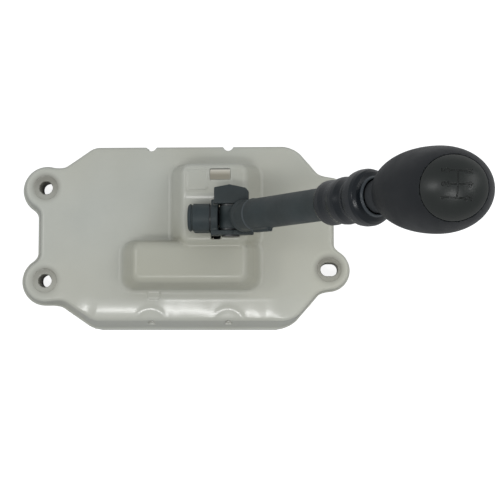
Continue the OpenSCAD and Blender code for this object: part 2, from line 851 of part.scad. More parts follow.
// Frame of the knob's egg: it leans about a point inside its lower half
module at_knob() {
    lean_point = 14;
    translate([0, 0, knob_dist - lean_point])
        rotate([knob_tilt, 0, 0])
            translate([0, 0, lean_point])
                children();
}

// Frame of the cap: +Z out of the knob, raised from the rim by the given amount
module at_cap(up) {
    rotate([0, -cap_tilt, 0])
        translate([0, 0, cap_dist + up])
            children();
}

module egg(low) {
    bottom = [for (i = [0:14]) let (t = low * (1 - i / 15)) [egg_r(t), t]];
    top = [for (i = [0:19]) let (t = knob_top_len * sin(4.5 * i)) [egg_r(t), t]];
    rotate_extrude($fn = 96)
        polygon(concat([[0, low]], bottom, top, [[0, knob_top_len]]));
}

module knob_body() {
    egg_low = lift_travel + 2 - knob_rise;
    color([0.15, 0.16, 0.17])
    on_lever()
        difference() {
            union() {
                at_knob()
                    egg(egg_low);
                translate([0, 0, neck_start])
                    cylinder(r = neck_r, h = knob_dist + egg_low + 5 - neck_start);
            }
            translate([0, 0, neck_start - 1])
                cylinder(r = rod_r + free_gap, h = insert_start - neck_start + 2);
            translate([0, 0, insert_start - 0.2])
                cylinder(r = insert_r, h = insert_len + 0.4);
            at_knob()
                at_cap(0)
                    cylinder(r = 2 * knob_r, h = knob_top_len);
            at_knob()
                at_cap(-2.7)
                    translate([cap_shift, 0, 0])
                        cylinder(r = cap_spigot_r + press_gap, h = 3);
        }
}

module knob_cap() {
    color([0.18, 0.19, 0.2])
    on_lever()
        at_knob() {
            intersection() {
                egg(0);
                at_cap(press_gap)
                    cylinder(r = 2 * knob_r, h = knob_top_len);
            }
            at_cap(-2.6)
                translate([cap_shift, 0, 0])
                    cylinder(r = cap_spigot_r, h = 4);
        }
}

// ---- lift sleeve ----

tube_bore_low = 8.4;
tube_bore_high = rod_r + 1;
lower_guide_end = 48.5;
upper_guide_len = 8;
upper_guide_bore = 8;

module lift_tube() {
    low_ring = 0.4;
    profile = [
        [tube_bore_low, tube_start], [tube_r_low + low_ring, tube_start],
        [tube_r_low + low_ring, tube_start + 2.6], [tube_r_low, tube_start + 3.2],
        [tube_r_high, tube_end - 19], [tube_r_high, tube_end],
        [upper_guide_bore, tube_end], [upper_guide_bore, tube_end - upper_guide_len],
        [tube_bore_high, tube_end - upper_guide_len], [tube_bore_high, lower_guide_end],
        [tube_bore_low, lower_guide_end]
    ];
    color([0.24, 0.26, 0.27])
    on_lever()
        union() {
            rotate_extrude()
                polygon(profile);
            // Stop finger on the left side
            translate([2, -tube_r_low + 1, 26])
                rotate([0, -90, 0])
                    linear_extrude(4)
                        polygon([[0, 0], [0, -1.6], [3, -2.8], [18.6, -3.1], [19, -2.8], [19, 0]]);
        }
}

module lift_collar() {
    top = collar_h;
    low = 0.8;
    profile = [
        [tube_r_high + press_gap, 0], [bead_r - 2.2, 0], [bead_r - 0.7, low], [bead_r, 2.6],
        [bead_r, 6.2], [bead_r - 0.6, 8], [bead_r - 1.5, 9.4], [bead_r - 1.5, 10.6],
        [bead_r - 0.5, 12], [bead_r + 0.1, 14.2], [bead_r + 0.1, 19.4], [bead_r - 0.6, 21.6],
        [bead_r - 1.8, 23.2], [bead_r - 1.8, 25.4], [bead_r - 0.6, 26.6], [flange_r - 1.6, 29.2],
        [flange_r - 0.4, 31.4], [flange_r, 34], [flange_r, 37.6], [flange_r - 0.5, 39.8],
        [flange_r - 2, 41.9], [flange_r - 4.2, top], [flange_r - 5.2, top],
        [neck_r + 0.8, top - 2.4], [neck_r + 0.8, stop_seat - collar_start],
        [rod_r + 0.8, stop_seat - collar_start], [rod_r + 0.8, tube_end + 0.05 - collar_start],
        [tube_r_high + press_gap, tube_end + 0.05 - collar_start]
    ];
    color([0.17, 0.18, 0.2])
    on_lever()
        translate([0, 0, collar_start])
            rotate_extrude()
                polygon(profile);
}

module guide_bush_lower() {
    color([0.82, 0.8, 0.72])
    on_lever()
        translate([0, 0, lower_guide_end - 8])
            ring(rod_r + running_gap, tube_bore_low - press_gap, 8);
}

module guide_bush_upper() {
    color([0.82, 0.8, 0.72])
    on_lever()
        translate([0, 0, tube_end - upper_guide_len])
            ring(rod_r + running_gap, upper_guide_bore - press_gap, upper_guide_len);
}

// Return spring between the collar's shoulder and its seat on the rod
module lift_spring() {
    r = rod_r + 2;
    low = stop_seat + lift_wire_r + 0.05;
    rise = spring_top - lift_wire_r - 0.05 - low;
    straight = 2 * lift_wire_r;
    coil = helix(r, rise / lift_turns, lift_turns, 0);
    path = concat([coil[0] + [0, -straight, 0]], coil, [coil[len(coil) - 1] + [0, straight, 0]]);
    gap = rise / lift_turns * cos(atan(rise / lift_turns / (2 * PI * r))) - 2 * lift_wire_r;
    echo(str("lift_spring least gap ", gap));
    color([0.6, 0.6, 0.6])
    on_lever()
        translate([0, 0, low])
            wire(path, lift_wire_r);
}

// ---- bellcrank ----

centring_r = crank_boss_r + 1.7;
centring_tab_w = 2 * (centring_r - centring_wire_r - free_gap);
fork_slot = 2 * (select_ball_r + 0.4);
fork_w = fork_slot + 5.2;
output_hole_r = 2.5;

module bellcrank() {
    fork_start = crank_hub_r + 2;
    arm_w = 1.5 * crank_hub_r;
    out_w = 1.25 * crank_hub_r;
    eye_end = out_w / 2 + 0.5;
    tab_y = 3.5 - crank_out;
    color([0.4, 0.42, 0.43])
    translate([crank_x, crank_y, crank_z])
        difference() {
            union() {
                translate([0, 0, -1])
                    cylinder(r = crank_hub_r, h = crank_hub_h + 1);
                translate([0, -arm_w / 2, 0])
                    cube([fork_start, arm_w, crank_t]);
                translate([crank_hub_r, -fork_w / 2, 0])
                    cube([crank_in - crank_hub_r + select_ball_r + 1, fork_w, crank_t]);
                translate([-out_w / 2, -crank_out, 0])
                    cube([out_w, crank_out, crank_t]);
                translate([0, -crank_out, 0])
                    cylinder(r = eye_end, h = crank_t);
                // Tab between the legs of the centring spring
                translate([-centring_tab_w / 2, tab_y, 0])
                    cube([centring_tab_w, 2.5, crank_hub_h + 8.6]);
            }
            translate([crank_in - 5, -fork_slot / 2, -1])
                cube([crank_in, fork_slot, crank_t + 2]);
            translate([crank_in - 5, 0, -1])
                cylinder(r = fork_slot / 2, h = crank_t + 2);
            translate([0, 0, -2])
                cylinder(r = crank_pin_r + 1.5 + press_gap, h = crank_hub_h + 4);
            translate([0, -crank_out, -1])
                cylinder(r = output_hole_r + press_gap, h = crank_t + 2);
        }
}

module bellcrank_bush() {
    color([0.82, 0.8, 0.72])
    translate([crank_x, crank_y, crank_z - 1])
        ring(crank_pin_r + running_gap, crank_pin_r + 1.5, crank_hub_h + 1);
}

module select_stud() {
    color([0.72, 0.72, 0.72])
    translate([crank_x, crank_y - crank_out, crank_z + crank_t]) {
        rotate([180, 0, 0])
            ball_stud(crank_t, crank_t + 7.5);
        cylinder(r = output_hole_r + 0.5, h = 1);
    }
}

// Centring spring: coil round the boss with both legs astride the two tabs
module centring_spring() {
    pitch = 1.9;
    turns = 3.5;
    leg = 21;
    coil = helix(centring_r, pitch, turns, 0);
    last = len(coil) - 1;
    path = concat(
        [coil[0] + [0, -leg, 0], coil[0] + [0, -leg / 2, 0]],
        coil,
        [coil[last] + [0, -leg / 2, 0], coil[last] + [0, -leg, 0]]
    );
    gap = pitch * cos(atan(pitch / (2 * PI * centring_r))) - 2 * centring_wire_r;
    echo(str("centring_spring least gap ", gap));
    color([0.6, 0.6, 0.6])
    translate([crank_x, crank_y, crank_boss_z + 1.4])
        wire(path, centring_wire_r);
}

base_housing();
bearing_barrel();
barrel_cap();
barrel_bush_front();
barrel_bush_rear();
barrel_screws();
bellcrank_pin();
bellcrank_washer();
bellcrank_circlip();
rocker_yoke();
thrust_washer();
rocker_circlip();
cross_pin();
select_ball();
lever_hub();
pivot_bush_left();
pivot_bush_right();
shift_stud();
lever_rod();
spring_seat();
knob_insert();
knob_body();
knob_cap();
lift_tube();
lift_collar();
guide_bush_lower();
guide_bush_upper();
lift_spring();
bellcrank();
bellcrank_bush();
select_stud();
centring_spring();
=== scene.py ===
import math
import bpy
import numpy as np
from mathutils import Matrix, Vector


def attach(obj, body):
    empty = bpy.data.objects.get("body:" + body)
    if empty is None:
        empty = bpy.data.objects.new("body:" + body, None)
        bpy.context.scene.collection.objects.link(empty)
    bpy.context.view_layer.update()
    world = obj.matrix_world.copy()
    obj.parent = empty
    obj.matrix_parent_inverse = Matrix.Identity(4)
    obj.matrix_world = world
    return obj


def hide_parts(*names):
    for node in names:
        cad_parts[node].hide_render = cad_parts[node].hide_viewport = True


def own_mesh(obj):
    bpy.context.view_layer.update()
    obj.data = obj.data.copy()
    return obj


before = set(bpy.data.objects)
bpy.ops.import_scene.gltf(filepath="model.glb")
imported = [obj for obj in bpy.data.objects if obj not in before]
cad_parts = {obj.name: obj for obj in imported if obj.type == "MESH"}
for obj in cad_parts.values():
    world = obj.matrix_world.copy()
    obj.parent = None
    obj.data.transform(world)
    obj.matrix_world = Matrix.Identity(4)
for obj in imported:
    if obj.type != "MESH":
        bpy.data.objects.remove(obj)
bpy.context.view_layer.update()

# lengths are millimetres up to the moment a mesh is made
mm = 0.001

view = {
    "eye": Vector((172.8, -69.1, 815.5)),
    "target": Vector((145.0, -11.7, 18.0)),
    "lens": 82.04,
    "sensor": 36.0,
    "clip": (0.05, 50),
}

pivotX = 133.4
pivot = Vector((pivotX, 7.4, 55.0))
leverLean = math.radians(37)
leverPlace = Matrix.Translation(pivot) @ Matrix.Rotation(leverLean, 4, "Y")


def joined(a, b, r):
    return np.maximum(r, np.minimum(a, b)) - np.hypot(np.maximum(r - a, 0), np.maximum(r - b, 0))


def common(a, b, r):
    return np.minimum(-r, np.maximum(a, b)) + np.hypot(np.maximum(r + a, 0), np.maximum(r + b, 0))


def cut(a, b, r):
    return common(a, -b, r)


def rect(x, y, low, high, r):
    qx = np.abs(x - (low[0] + high[0]) / 2) - (high[0] - low[0]) / 2 + r
    qy = np.abs(y - (low[1] + high[1]) / 2) - (high[1] - low[1]) / 2 + r
    return np.minimum(np.maximum(qx, qy), 0) + np.hypot(np.maximum(qx, 0), np.maximum(qy, 0)) - r


def within(along, low, high):
    return np.maximum(low - along, along - high)


def block(x, y, z, low, high, r):
    return common(rect(x, y, low, high, r), within(z, low[2], high[2]), r)


# round bar between two heights of its own axis
def bar(across, along, r, start, end, edge):
    return common(across - r, within(along, start, end), edge)


# signed distance to a closed polygon
def polygon(x, y, points):
    best = np.full(np.shape(x), 1e9)
    sign = np.ones(np.shape(x))
    last = points[-1]
    for point in points:
        ex, ey = last[0] - point[0], last[1] - point[1]
        wx, wy = x - point[0], y - point[1]
        t = np.clip((wx * ex + wy * ey) / (ex * ex + ey * ey), 0, 1)
        best = np.minimum(best, (wx - ex * t) ** 2 + (wy - ey * t) ** 2)
        a, b, c = y >= point[1], y < last[1], ex * wy > ey * wx
        sign = np.where((a & b & c) | (~a & ~b & ~c), -sign, sign)
        last = point
    return sign * np.sqrt(best)


# distance to a drawn line of several points
def stroke(x, y, points):
    best = np.full(np.shape(x), 1e9)
    for a, b in zip(points[:-1], points[1:]):
        ex, ey = b[0] - a[0], b[1] - a[1]
        wx, wy = x - a[0], y - a[1]
        t = np.clip((wx * ex + wy * ey) / (ex * ex + ey * ey), 0, 1)
        best = np.minimum(best, np.hypot(wx - ex * t, wy - ey * t))
    return best


def newObject(name, points, faces, place=None):
    mesh = bpy.data.meshes.new(name)
    if isinstance(faces, np.ndarray):
        faces = faces.tolist()
    mesh.from_pydata((np.asarray(points) * mm).tolist(), [], faces)
    mesh.update()
    mesh.shade_smooth()
    if place is not None:
        mesh.transform(Matrix.Translation(place.translation * mm) @ place.to_3x3().to_4x4())
    piece = bpy.data.objects.new(name, mesh)
    bpy.context.scene.collection.objects.link(piece)
    return piece


def addValues(piece, name, values):
    layer = piece.data.attributes.new(name, "FLOAT", "POINT")
    layer.data.foreach_set("value", np.asarray(values, np.float32))


def neighbourMean(faces, values):
    total = np.zeros_like(values)
    count = np.zeros(len(values))
    for a in range(4):
        for b in (faces[:, (a + 1) % 4], faces[:, a - 1]):
            here = faces[:, a]
            count += np.bincount(here, minlength=len(values))
            for k in range(values.shape[1]):
                total[:, k] += np.bincount(here, weights=values[b, k], minlength=len(values))
    return total / np.maximum(count, 1)[:, None]


# closed quad skin of a distance field
def skinOf(name, field, low, high, cell, place=None):
    axes = [np.arange(low[i] - 1.6 * cell, high[i] + 2.6 * cell, cell) for i in range(3)]
    shape = tuple(len(a) for a in axes)
    grid = np.empty(shape, np.float32)
    xs, ys = np.meshgrid(axes[0], axes[1], indexing="ij")
    for k, z in enumerate(axes[2]):
        grid[:, :, k] = field(xs, ys, np.full_like(xs, z))
    solid = grid < 0
    nx, ny, nz = (n - 1 for n in shape)
    total = np.zeros((nx, ny, nz), np.int8)
    for i in (0, 1):
        for j in (0, 1):
            for k in (0, 1):
                total += solid[i:i + nx, j:j + ny, k:k + nz]
    mixed = (total > 0) & (total < 8)
    cells = np.argwhere(mixed)
    number = np.full(mixed.shape, -1, np.int64)
    number[mixed] = np.arange(len(cells))

    # start each vertex at the mean of its cell's crossings
    start = np.zeros((len(cells), 3))
    hits = np.zeros(len(cells))
    for axis in range(3):
        u, v = (axis + 1) % 3, (axis + 2) % 3
        for du in (0, 1):
            for dv in (0, 1):
                a = cells.copy()
                a[:, u] += du
                a[:, v] += dv
                b = a.copy()
                b[:, axis] += 1
                fa, fb = grid[tuple(a.T)], grid[tuple(b.T)]
                crossing = (fa < 0) != (fb < 0)
                share = np.where(crossing, fa / np.where(crossing, fa - fb, 1), 0)
                point = a.astype(float)
                point[:, axis] += share
                start[crossing] += point[crossing]
                hits += crossing
    points = np.array([a[0] for a in axes]) + cell * start / np.maximum(hits, 1)[:, None]

    faces = []
    for axis in range(3):
        u, v = (axis + 1) % 3, (axis + 2) % 3
        step = np.diff(solid.astype(np.int8), axis=axis)
        edges = np.argwhere(step != 0)
        leaving = step[tuple(edges.T)] < 0
        ring = []
        for du, dv in ((1, 1), (0, 1), (0, 0), (1, 0)):
            q = edges.copy()
            q[:, u] -= du
            q[:, v] -= dv
            ring.append(number[tuple(q.T)])
        ring = np.stack(ring, 1)
        ring[~leaving] = ring[~leaving][:, ::-1]
        faces.append(ring)
    faces = np.concatenate(faces)

    probe = 0.02

    def slope(p):
        here = field(*p.T)
        return here, np.stack([(field(*(p + probe * e).T) - here) / probe for e in np.eye(3)], 1)

    # the vertices settle on the surface, evened out twice on the way
    for turn in range(4):
        here, grad = slope(points)
        move = -(here / np.maximum((grad ** 2).sum(1), 0.3))[:, None] * grad
        size = np.linalg.norm(move, axis=1, keepdims=True)
        points = points + move * np.minimum(1, 0.7 * cell / np.maximum(size, 1e-9))
        if turn in (0, 1):
            points = points + 0.6 * (neighbourMean(faces, points) - points)
    here, grad = slope(points)
    normals = grad / np.maximum(np.linalg.norm(grad, axis=1, keepdims=True), 1e-9)
    bend = ((neighbourMean(faces, points) - points) * normals).sum(1, keepdims=True) / cell
    for turn in range(2):
        bend = 0.5 * bend + 0.5 * neighbourMean(faces, bend)
    piece = newObject(name, points, faces, place)
    if place is not None:
        normals = normals @ np.array(place.to_3x3()).T
    piece.data.normals_split_custom_set_from_vertices(normals.tolist())
    addValues(piece, "bend", bend[:, 0])
    print("skin", name, len(faces), "faces")
    return piece, points


# closed ring of revolution from [radius, height] points, corners rounded by the third number
def spun(name, profile, steps, place):
    path = []
    count = len(profile)
    for i, (r, h, corner) in enumerate(profile):
        here = np.array((r, h))
        before = np.array(profile[i - 1][:2]) - here
        after = np.array(profile[(i + 1) % count][:2]) - here
        a, b = np.linalg.norm(before), np.linalg.norm(after)
        before, after = before / a, after / b
        angle = math.acos(max(-1, min(1, float(before @ after))))
        if corner <= 0 or angle > 3.1:
            path.append(here)
            continue
        reach = min(corner / math.tan(angle / 2), 0.48 * a, 0.48 * b)
        p, q = here + before * reach, here + after * reach
        for k in range(7):
            t = k / 6
            path.append((1 - t) ** 2 * p + 2 * t * (1 - t) * here + t * t * q)
    # long straight runs get extra rings
    full = []
    for i, here in enumerate(path):
        there = path[(i + 1) % len(path)]
        parts = max(1, int(np.linalg.norm(there - here) / 3))
        full += [here + (there - here) * k / parts for k in range(parts)]
    n = len(full)
    points = [(p[0] * math.cos(2 * math.pi * s / steps), p[0] * math.sin(2 * math.pi * s / steps), p[1])
              for s in range(steps) for p in full]
    faces = []
    for s in range(steps):
        t = (s + 1) % steps
        for i in range(n):
            j = (i + 1) % n
            faces.append((s * n + i, t * n + i, t * n + j, s * n + j))
    area = sum(full[i][0] * full[(i + 1) % n][1] - full[(i + 1) % n][0] * full[i][1] for i in range(n))
    if area < 0:
        faces = [f[::-1] for f in faces]
    piece = newObject(name, points, faces, place)
    bend = []
    for i in range(n):
        a, b, c = full[i - 1], full[i], full[(i + 1) % n]
        turn = (b - a)[0] * (c - b)[1] - (b - a)[1] * (c - b)[0]
        bend.append(-turn / max(np.linalg.norm(b - a) * np.linalg.norm(c - b), 1e-6) * (1 if area > 0 else -1))
    bend = np.array(bend)
    for k in range(3):
        bend = (np.roll(bend, 1) + 2 * bend + np.roll(bend, -1)) / 4
    addValues(piece, "bend", np.tile(bend, steps))
    return piece


# round wire through points
def wireAlong(name, path, r, sides, place=None):
    path = np.asarray(path, float)
    count = len(path)
    ahead = np.gradient(path, axis=0)
    ahead /= np.linalg.norm(ahead, axis=1, keepdims=True)
    side = np.cross((0, 0, 1), ahead)
    side /= np.linalg.norm(side, axis=1, keepdims=True)
    up = np.cross(ahead, side)
    angle = np.arange(sides) * 2 * math.pi / sides
    around = np.cos(angle)[None, :, None] * side[:, None] + np.sin(angle)[None, :, None] * up[:, None]
    rings = path[:, None] + r * around
    points = list(rings.reshape(-1, 3))
    faces = []
    for i in range(count - 1):
        for k in range(sides):
            n = (k + 1) % sides
            faces.append((i * sides + k, i * sides + n, (i + 1) * sides + n, (i + 1) * sides + k))
    for end, way in ((0, -1), (count - 1, 1)):
        middle = len(points)
        points.append(path[end] + way * ahead[end] * 0.35 * r)
        for k in range(sides):
            pair = (end * sides + k, end * sides + (k + 1) % sides)
            faces.append((middle,) + (pair if way > 0 else pair[::-1]))
    return newObject(name, points, faces, place)


def srgb(r, g, b):
    def part(v):
        v /= 255
        return v / 12.92 if v <= 0.04045 else ((v + 0.055) / 1.055) ** 2.4
    return (part(r), part(g), part(b), 1.0)


def scaled(colour, by):
    return tuple(min(1, c * by) for c in colour[:3]) + (1.0,)


def feed(node, key, value):
    if isinstance(value, bpy.types.NodeSocket):
        node.id_data.links.new(value, node.inputs[key])
    else:
        node.inputs[key].default_value = value


def addNode(tree, kind, inputs=None, **settings):
    node = tree.nodes.new(kind)
    for key, value in settings.items():
        setattr(node, key, value)
    for key, value in (inputs or {}).items():
        feed(node, key, value)
    return node


class Recipe:
    def __init__(self, name):
        self.material = bpy.data.materials.new(name)
        self.material.use_nodes = True
        self.tree = self.material.node_tree
        self.shader = self.tree.nodes["Principled BSDF"]
        self.place = self.add("ShaderNodeTexCoord").outputs["Object"]

    def add(self, kind, inputs=None, **settings):
        return addNode(self.tree, kind, inputs, **settings)

    def give(self, key, value):
        feed(self.shader, key, value)

    def noise(self, scale, detail=3.0, rough=0.5, place=None):
        return self.add("ShaderNodeTexNoise", {"Vector": place or self.place, "Scale": scale, "Detail": detail,
                                               "Roughness": rough}).outputs["Fac"]

    def ranged(self, value, low, high, a, b):
        return self.add("ShaderNodeMapRange", {"Value": value, "From Min": low, "From Max": high,
                                               "To Min": a, "To Max": b}).outputs["Result"]

    def mixed(self, share, a, b):
        return self.add("ShaderNodeMix", {0: share, 6: a, 7: b}, data_type="RGBA").outputs[2]

    def math(self, how, a, b):
        return self.add("ShaderNodeMath", {0: a, 1: b}, operation=how).outputs[0]

    def bump(self, height, depth, **before):
        return self.add("ShaderNodeBump", {"Height": height, "Distance": depth, **before}).outputs["Normal"]

    def attribute(self, name):
        return self.add("ShaderNodeAttribute", attribute_name=name).outputs["Fac"]


# moulded plastic with mottling, grain, dirt in corners and rubbed edges, and the painted shade, painted light and
# painted highlights that a look asks for
def plastic(name, look):
    m = Recipe(name)
    base = look["colour"]
    blotch, mottle = look["mottle"]
    uneven = m.ranged(m.noise(blotch, 4, 0.6), 0.3, 0.7, 0, 1)
    colour = m.mixed(uneven, scaled(base, 1 - mottle), scaled(base, 1 + mottle))
    share, tone = look.get("tint", (0.0, base))
    tint = m.ranged(m.noise(blotch * 0.4, 2, 0.5), 0.35, 0.65, 0, share)
    colour = m.mixed(tint, colour, tone)
    scale, share, tone = look["speck"]
    colour = m.mixed(m.ranged(m.noise(scale, 2, 0.7), 0.62, 0.78, 0, share), colour, tone)
    if "yellowingShade" in look:
        # painted shade with yellowing: the raised dome takes a darker, warmer colour, most towards the front
        spot = m.add("ShaderNodeSeparateXYZ", {"Vector": m.place})
        raised = m.math("MULTIPLY", m.ranged(spot.outputs["Z"], *look["yellowingShadeHeight"], 0, 0.7),
                        m.ranged(spot.outputs["Y"], *look["yellowingShadeSide"], 1, 0.2))
        patchy = m.ranged(m.noise(14, 2, 0.5), 0.3, 0.7, 0.6, 1.1)
        colour = m.mixed(m.math("MULTIPLY", raised, patchy), colour, look["yellowingShade"])
        # painted light: towards the rear the plate is coloured lighter and warmer, lifting the shade that the lever
        # and knob cast there
        paintedLight = m.ranged(spot.outputs["X"], *look["paintedLightAlong"], 0, 0.4)
        colour = m.mixed(m.math("MULTIPLY", paintedLight, patchy), colour, look["paintedLight"])
    bend = m.attribute("bend")
    uneven = m.ranged(m.noise(60, 4, 0.65), 0.3, 0.7, 0.3, 1)
    share, full, tone = look["dirt"]
    corner = m.math("MULTIPLY", m.ranged(bend, 0.01, full, 0, share), uneven)
    colour = m.mixed(corner, colour, tone)
    share, full, tone = look["wear"]
    edge = m.math("MULTIPLY", m.ranged(bend, -0.03, -full, 0, share), uneven)
    colour = m.mixed(edge, colour, tone)
    # the mark attribute carries painted shade round the housing's bolt holes, painted highlights on the tube seam and
    # the collar, painted light on the knob neck, and the darker engraved lines of the cap
    if "mark" in look:
        share, tone = look["mark"]
        colour = m.mixed(m.math("MULTIPLY", m.attribute("mark"), share), colour, tone)
    m.give("Base Color", colour)
    smear, low, high = look["rough"]
    m.give("Roughness", m.ranged(m.noise(smear, 5, 0.6), 0.3, 0.7, low, high))
    m.give("Specular IOR Level", look.get("spec", 0.5))
    if "gloss" in look:
        m.give("Coat Weight", m.ranged(m.attribute("gloss"), 0, 1, look["gloss"], 1))
    m.give("Coat Roughness", look.get("coatRough", 0.1))
    (waves, waveDepth), (grains, grainDepth) = look["wave"], look["grain"]
    wave = m.bump(m.noise(waves, 2, 0.5), waveDepth * mm)
    m.give("Normal", m.bump(m.noise(grains, 3, 0.6), grainDepth * mm, Normal=wave))
    return m.material


# turned, plated or drawn metal with fine lines and dull patches
def metal(name, look):
    m = Recipe(name)
    stretch = m.add("ShaderNodeMapping", {"Vector": m.place, "Scale": look["lines"]}).outputs["Vector"]
    lines = m.noise(1.0, 3, 0.6, stretch)
    patch = m.ranged(m.noise(look["patch"], 4, 0.6), 0.35, 0.7, 0, 1)
    colour = m.mixed(patch, look["colour"], look["dull"])
    colour = m.mixed(m.ranged(lines, 0.4, 0.7, 0, 0.25), colour, scaled(look["colour"], 0.7))
    m.give("Base Color", colour)
    m.give("Metallic", 1.0)
    m.give("Roughness", m.ranged(m.noise(look["patch"] * 3, 3, 0.6), 0.3, 0.7, *look["rough"]))
    m.give("Normal", m.bump(lines, 0.01 * mm))
    return m.material


dust = srgb(120, 118, 110)

# tint and mark: share, colour; speck: scale, share, colour; rough: scale, low, high; mottle: scale, share;
# dirt in corners and wear on edges: share, the bend where it is full, colour; wave and grain: scale, depth in mm
looks = {
    "housing": {
        "colour": srgb(173, 174, 166), "mottle": (26, 0.035), "tint": (0.35, srgb(170, 166, 150)),
        # the housing's mark is painted shade round the bolt holes
        "speck": (900, 0.25, srgb(150, 148, 138)), "mark": (0.7, srgb(96, 92, 82)),
        "dirt": (0.55, 0.18, srgb(128, 122, 106)), "wear": (0.35, 0.25, srgb(196, 197, 190)),
        # yellowing shade: painted shade with a warmer tone on the raised dome
        "yellowingShade": srgb(158, 156, 140), "yellowingShadeHeight": (0.018, 0.028), "yellowingShadeSide": (-0.004, 0.012),
        # paintedLight: painted light on the plate towards the rear
        "paintedLight": srgb(194, 191, 174), "paintedLightAlong": (0.13, 0.19),
        "rough": (45, 0.3, 0.42), "gloss": 0.12, "coatRough": 0.2, "wave": (60, 0.05), "grain": (1500, 0.01),
    },
    "black": {
        "colour": srgb(42, 50, 52), "mottle": (60, 0.14), "tint": (0.4, srgb(42, 45, 43)),
        # the black mark is a painted highlight on the tube's seam ring
        "speck": (1400, 0.35, srgb(60, 64, 64)), "mark": (0.6, srgb(84, 90, 94)),
        "dirt": (0.35, 0.2, dust), "wear": (0.5, 0.3, srgb(66, 72, 74)),
        "spec": 0.3, "rough": (90, 0.4, 0.56), "wave": (160, 0.05), "grain": (2200, 0.05),
    },
    "collar": {
        "colour": srgb(15, 20, 25), "mottle": (70, 0.12), "speck": (1600, 0.25, srgb(36, 41, 46)),
        # the collar's mark is a painted highlight on the lip and the flange edge
        "mark": (0.8, srgb(64, 69, 73)), "dirt": (0.04, 0.2, dust), "wear": (0.3, 0.3, srgb(38, 44, 50)),
        "spec": 0.3, "rough": (120, 0.2, 0.32), "wave": (160, 0.04), "grain": (2600, 0.03),
    },
    "knob": {
        "colour": srgb(26, 28, 31), "mottle": (55, 0.1), "speck": (1800, 0.3, srgb(44, 48, 49)),
        # the knob's mark is painted light on the shaded neck
        "mark": (0.7, srgb(54, 56, 58)), "dirt": (0.3, 0.2, dust), "wear": (0.35, 0.3, srgb(46, 50, 51)),
        "spec": 0.2, "rough": (70, 0.42, 0.58), "wave": (120, 0.04), "grain": (2800, 0.05),
    },
    "cap": {
        "colour": srgb(18, 22, 19), "mottle": (60, 0.08), "speck": (1800, 0.25, srgb(52, 56, 55)),
        # the cap's mark colours the engraved lines darker
        "mark": (0.6, srgb(12, 14, 14)), "dirt": (0.2, 0.2, dust), "wear": (0.3, 0.3, srgb(48, 52, 51)),
        "spec": 0.42, "rough": (80, 0.3, 0.42), "wave": (120, 0.03), "grain": (2800, 0.03),
    },
    "bushing": {
        "colour": srgb(214, 208, 188), "mottle": (120, 0.05), "speck": (1500, 0.2, srgb(190, 182, 158)),
        "dirt": (0.4, 0.2, srgb(110, 100, 80)), "wear": (0.2, 0.3, srgb(225, 220, 205)),
        "rough": (150, 0.38, 0.5), "wave": (300, 0.02), "grain": (2500, 0.02),
    },
    "darkBushing": {
        "colour": srgb(40, 42, 42), "mottle": (120, 0.08), "speck": (1500, 0.2, srgb(60, 62, 60)),
        "dirt": (0.3, 0.2, dust), "wear": (0.2, 0.3, srgb(72, 74, 74)),
        "rough": (150, 0.3, 0.42), "wave": (300, 0.02), "grain": (2500, 0.02),
    },
    "crank": {
        "colour": srgb(62, 63, 64), "mottle": (90, 0.15), "tint": (0.3, srgb(84, 74, 62)),
        "speck": (900, 0.3, srgb(96, 92, 86)),
        "dirt": (0.3, 0.2, srgb(120, 104, 80)), "wear": (0.3, 0.3, srgb(120, 122, 124)),
        "rough": (110, 0.36, 0.55), "wave": (250, 0.03), "grain": (1400, 0.04),
    },
}
# "lines" is how fine the drawn or turned marks run along x, y and z
metals = {
    "steel": {"colour": srgb(198, 198, 198), "dull": srgb(168, 167, 165),
              "lines": (400, 400, 3000), "patch": 120, "rough": (0.2, 0.36)},
    "zinc": {"colour": srgb(200, 198, 186), "dull": srgb(172, 166, 140),
             "lines": (900, 900, 900), "patch": 200, "rough": (0.28, 0.45)},
    "springSteel": {"colour": srgb(150, 150, 154), "dull": srgb(104, 100, 96),
                    "lines": (1500, 1500, 1500), "patch": 260, "rough": (0.26, 0.42)},
    "blackSteel": {"colour": srgb(92, 92, 94), "dull": srgb(60, 58, 56),
                   "lines": (500, 500, 2500), "patch": 200, "rough": (0.34, 0.5)},
    "brass": {"colour": srgb(226, 196, 128), "dull": srgb(190, 156, 92),
              "lines": (300, 300, 3500), "patch": 140, "rough": (0.22, 0.4)},
}
paint = {name: plastic(name, look) for name, look in looks.items()}
paint.update({name: metal(name, look) for name, look in metals.items()})
print("materials", len(paint))


def dress(piece, material, slot, body, *nodes):
    piece.data.materials.clear()
    piece.data.materials.append(paint[material])
    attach(piece, body)
    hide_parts(*nodes)


tray = {
    "height": 18.0, "halfWidth": 61.8, "leftFlare": 5.0, "frontFlare": 4.0, "front": -3.7, "rear": 203.4,
    "edge": 2.8, "flareTop": 13.0, "wall": 3.0, "crown": 0.5, "crownReach": 9.0, "bevel": 15.0, "arch": 0.3,
    "corners": ((38.0, 12.0, 124.5), (167.4, 18.0, 40.7)),
    "lugs": ((0.0, 33.0), (200.4, 25.5)), "lugRadius": (15.0, 14.2), "tower": (12.3, 11.5),
    "holeRadius": 4.6, "slotReach": 1.4, "seatRadius": 8.5, "seatDepth": 1.0, "dish": (0.5, 14.0, 6),
    "notches": (75.0, 129.5), "notch": 3.4, "notchY": (62.2, -63.3), "leftNotch": 2.4, "leftNotchFloor": 8.0,
    "lip": (1.0, 2.0), "low": ((73.2, -46.0), (81.6, -39.0), 18.6), "cell": 1.0,
}
